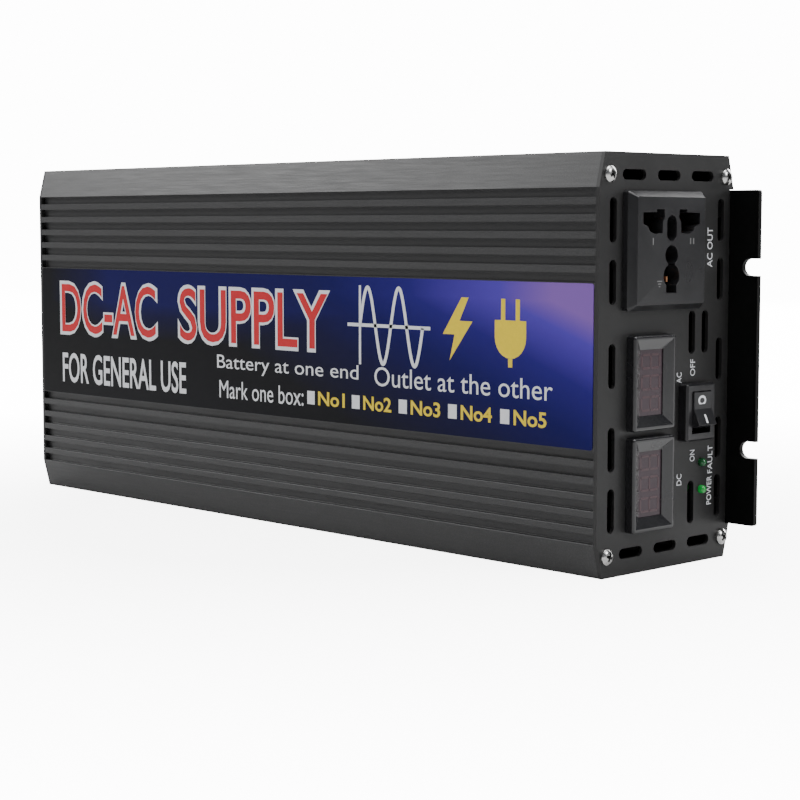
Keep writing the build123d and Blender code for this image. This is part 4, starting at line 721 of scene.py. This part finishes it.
# ---------------------------------------------------------------- outlet end
def contact_lip(finish):
    """The rolled front lip of a spring contact, seen at the side of an opening."""
    s = Shape("Contact lip", Height=1.8 * MM, Roll=0.45 * MM, Depth=2.4 * MM)
    size = s.inputs
    roll = s.add("GeometryNodeMeshCylinder", {"Vertices": 16, "Radius": size["Roll"],
                                              "Depth": size["Height"]}).outputs["Mesh"]
    strip = s.vector(size["Depth"], 0.4 * MM, size["Height"])
    leaf = s.add("GeometryNodeMeshCube", {"Size": strip}).outputs["Mesh"]
    leaf = s.move(leaf, s.vector(x=s.math("MULTIPLY", size["Depth"], -0.5)))
    return s.output(s.repeat(size["Geometry"], s.join(roll, leaf)), finish)


def make_outlet(f):
    """Rounded outlet cover with small moulded marks beside its openings."""
    soften("socket_cover", "case", f["satin_black"], 0.35 * MM)
    centre = middle("socket_cover")
    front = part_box("socket_cover")[1].x
    marks = Print("socket_marks", f["mark_ink"], ON_PANEL, (front, centre.y, centre.z))
    line = 0.6 * MM
    marks.box((-10.2 * MM, 3.2 * MM), line, 2.4 * MM)
    for y in (10.3, 12.0):
        marks.box((y * MM, 3.25 * MM), line, 2.1 * MM)
    for width, z in ((2.6, -10.4), (1.7, -11.3), (0.8, -12.2)):
        marks.box((-6.5 * MM, z * MM), width * MM, 0.4 * MM)
    marks.finish_piece("case", "black_plastic")
    place = (front - 3.2 * MM, centre.y + 1.1 * MM, centre.z - 9.8 * MM)
    grow("earth_contact_lip", contact_lip(f["copper"]), "case", "contact_brass", [place])


def segment_bar(finish):
    """A display segment with pointed ends at each point, turned the same way at all of them."""
    s = Shape("Display segment", Length=5.0 * MM, Width=0.8 * MM, Thickness=0.05 * MM, Turn=(0.0, 0.0, 0.0))
    size = s.inputs
    bar = s.add("GeometryNodeMeshCylinder", {"Vertices": 6, "Radius": 0.5, "Depth": 1.0}).outputs["Mesh"]
    x, y, z = s.position()
    inner = s.math("LESS_THAN", s.math("ABSOLUTE", x), 0.4)
    half_width = s.math("MULTIPLY", size["Width"], 0.5)
    shoulder = s.math("SUBTRACT", 0.5, s.math("DIVIDE", half_width, size["Length"]))
    straight = s.math("MULTIPLY", s.math("SIGN", x), shoulder)
    reach = s.math("ADD", s.math("MULTIPLY", inner, straight),
                   s.math("MULTIPLY", s.math("SUBTRACT", 1.0, inner), x))
    across = s.math("MULTIPLY", s.math("SIGN", y), s.math("MULTIPLY", inner, 0.5))
    bar = s.place(bar, True, s.vector(reach, across, z))
    bar = s.move(bar, scale=s.vector(size["Length"], size["Width"], size["Thickness"]))
    return s.output(s.repeat(size["Geometry"], bar, size["Turn"]), finish)


def make_meters(f):
    """Both digital meters: glossy funnel bezel, smoked window and three unlit digits."""
    tall, wide, pitch = 9.6 * MM, 4.6 * MM, 7.3 * MM
    level = [(0, tall / 2), (0, 0), (0, -tall / 2)]
    upright = [(-wide / 2, tall / 4), (wide / 2, tall / 4), (-wide / 2, -tall / 4), (wide / 2, -tall / 4)]
    bar = segment_bar(f["digit"])
    for meter in ("ac", "dc"):
        coat(f["gloss_black"], f"{meter}_meter_bezel")
        coat(f["window"], f"{meter}_meter_window")
        coat(f["display"], f"{meter}_meter_display")
        coat(f["board"], f"{meter}_meter_board")
        centre = middle(f"{meter}_meter_window")
        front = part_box(f"{meter}_meter_window")[1].x + 0.03 * MM
        laid = Matrix.Translation((front, centre.y, centre.z)) @ UP_THE_PANEL
        for name, places, length, lying in (
            ("level", level, wide * 0.92, (0, math.pi / 2, 0)),
            ("upright", upright, tall * 0.46, (math.pi / 2, 0, math.pi / 2)),
        ):
            spots = [laid @ Vector((x + digit * pitch, y, 0)) for digit in (-1, 0, 1) for x, y in places]
            grow(f"{meter}_meter_{name}_segments", bar, "case", "display_face", spots, angle=20,
                 Length=length, Turn=lying)


def flat_face(node, toward):
    """Middle and normal of the largest flat face that looks most nearly one way."""
    mesh = nodes[node].data
    faces = [p for p in mesh.polygons if p.normal.dot(toward) > 0.995]
    total = sum(p.area for p in faces)
    centre = sum((p.center * p.area for p in faces), Vector()) / total
    return centre, faces[0].normal.copy()


def make_switch(f):
    """Rounded switch frame and rocker, with a ring and a bar printed on the rocker."""
    soften("switch_frame", "case", f["satin_black"], 0.2 * MM)
    soften("switch_rocker", "rocker", f["satin_black"], 0.2 * MM)
    coat(f["brass"], "switch_plunger", "switch_lever", "switch_terminals")
    for name, toward in (("rocker_ring", Vector((1, 0, 0))), ("rocker_bar", Vector((0.914, 0, 0.407)))):
        centre, normal = flat_face("switch_rocker", toward)
        up = normal.cross(Vector((0, 1, 0)))
        lying = Matrix((Vector((0, 1, 0)), up, normal)).transposed().to_4x4()
        mark = Print(name, f["white_ink"], lying, centre)
        if name == "rocker_ring":
            mark.ring((-0.5 * MM, 0), 2.2 * MM, 1.8 * MM, 0.85 * MM)
        else:
            mark.box((0, -0.7 * MM), 1.0 * MM, 3.2 * MM)
        mark.finish_piece("rocker", "black_plastic")


# ---------------------------------------------------------------- inside
def coat_inside(f):
    """Finishes for the parts inside the case, seen through the slots and the fan."""
    coat(f["board"], "main_board", "driver_board")
    coat(f["brass"], "board_standoffs", "positive_busbar", "negative_busbar")
    coat(f["copper"], "socket_contacts")
    coat(f["zinc"], "board_screws", "positive_nut", "negative_nut", "ground_screw", "fan_screws",
         "positive_washer", "negative_washer")
    coat(f["brass"], "positive_stud", "negative_stud")
    coat(f["ferrite"], "transformer_cores", "inductor_core")
    coat(f["winding"], "transformer_windings", "inductor_winding", "fan_coils")
    coat(f["aluminium"], "heat_bars")
    coat(f["chip"], "power_transistors")
    coat(f["blue_sleeve"], "input_capacitors")
    coat(f["black_sleeve"], "bulk_capacitors")
    coat(f["fuse"], "fuses")
    coat(f["sheath"], "ac_leads", "panel_leads", "fan_leads")
    coat(f["satin_black"], "socket_body", "fan_frame", "fan_rotor")
    coat(f["wire"], "fan_guard")
    coat(f["red_plastic"], "positive_knob", "positive_insulator")
    coat(f["gloss_black"], "negative_knob", "negative_insulator")


def coat_case(f):
    """Finishes for the case, its plates, its label and the lamps."""
    coat(f["case"], "case_shell")
    for plate, finish, width in (("ac_panel", "panel", 0.18), ("dc_panel", "panel", 0.18),
                                 ("base_plate", "plate", 0.3)):
        soften(plate, "case", f[finish], width * MM, 2)
    coat(f["label"], "front_label")
    coat(f["power_lens"], "power_led")
    coat(f["fault_lens"], "fault_led")


# ---------------------------------------------------------------- stage
CAMERA_PLACE = (0.5892, -0.5310, 0.1202)
CAMERA_TURN = 46.33         # degrees from the labelled face's own direction
CAMERA_DIP = -5.18          # degrees below level


def make_stage():
    """A pale floor with a painted soft shadow about its middle, soft lights and the camera."""
    floor_mesh = bpy.data.meshes.new("floor")
    corners = [(-40, -40, 0), (40, -40, 0), (40, 40, 0), (-40, 40, 0)]
    floor_mesh.from_pydata(corners, [], [(0, 1, 2, 3)])
    floor = show("floor", floor_mesh)
    pale = Finish("pale_floor_with_painted_shadow", colour=(0.5, 0.5, 0.5), rough=0.8, glow_colour=(1, 1, 1))
    from_middle = pale.add("ShaderNodeVectorMath", {0: pale.place}, operation="LENGTH").outputs["Value"]
    seen_straight = pale.add("ShaderNodeLightPath").outputs["Is Camera Ray"]
    # painted shadow: the floor glows less near the middle where the object stands, so a soft shadow is
    # painted into it
    painted_shadow_glow = pale.between(from_middle, 0.12, 0.5, 6.0, 14.0)
    pale.set(glow=pale.math("MULTIPLY", seen_straight, painted_shadow_glow))
    paint(floor, pale)

    world = bpy.data.worlds.new("studio")
    bpy.context.scene.world = world
    world.use_nodes = True
    tree = world.node_tree
    seen = tree.nodes.new("ShaderNodeBackground")
    seen.inputs[0].default_value, seen.inputs[1].default_value = (1, 1, 1, 1), 14.0
    lit = tree.nodes["Background"]
    lit.inputs[0].default_value, lit.inputs[1].default_value = (0.9, 0.93, 1.0, 1), 0.12
    path = tree.nodes.new("ShaderNodeLightPath")
    choose = tree.nodes.new("ShaderNodeMixShader")
    tree.links.new(path.outputs["Is Camera Ray"], choose.inputs[0])
    tree.links.new(lit.outputs[0], choose.inputs[1])
    tree.links.new(seen.outputs[0], choose.inputs[2])
    tree.links.new(choose.outputs[0], tree.nodes["World Output"].inputs[0])

    for name, place, aim, size, power in (
        ("overhead_light", (0.0, -0.1, 1.6), (0, 0, 0), (2.4, 1.4), 60),
        ("back_light", (-0.7, 1.9, 0.95), (0, 0, 0.05), (3.2, 1.5), 110),
        ("face_light", (-1.6, -1.0, 1.0), (-0.08, 0, 0.1), (0.7, 0.5), 17),
        ("end_light", (1.5, 0.35, 0.95), (0.17, 0, 0.1), (0.5, 0.6), 11),
    ):
        light = bpy.data.lights.new(name, "AREA")
        light.shape, light.size, light.size_y, light.energy = "RECTANGLE", size[0], size[1], power
        lamp = show(name, light)
        lamp.location = place
        lamp.rotation_euler = (Vector(aim) - Vector(place)).to_track_quat("-Z", "Y").to_euler()

    camera = show("camera", bpy.data.cameras.new("camera"))
    camera.location = CAMERA_PLACE
    turn, dip = math.radians(CAMERA_TURN), math.radians(CAMERA_DIP)
    way = Vector((-math.sin(turn) * math.cos(dip), math.cos(turn) * math.cos(dip), math.sin(dip)))
    camera.rotation_euler = way.to_track_quat("-Z", "Y").to_euler()
    camera.data.sensor_width = 36
    camera.data.lens = 86.7
    camera.data.clip_start = 0.01
    bpy.context.scene.camera = camera


finishes = make_finishes()
make_stage()
coat_case(finishes)
coat_inside(finishes)
make_screws(finishes)
make_outlet(finishes)
make_meters(finishes)
make_switch(finishes)
print_label(finishes)
print_wave(finishes)
print_panel(finishes)
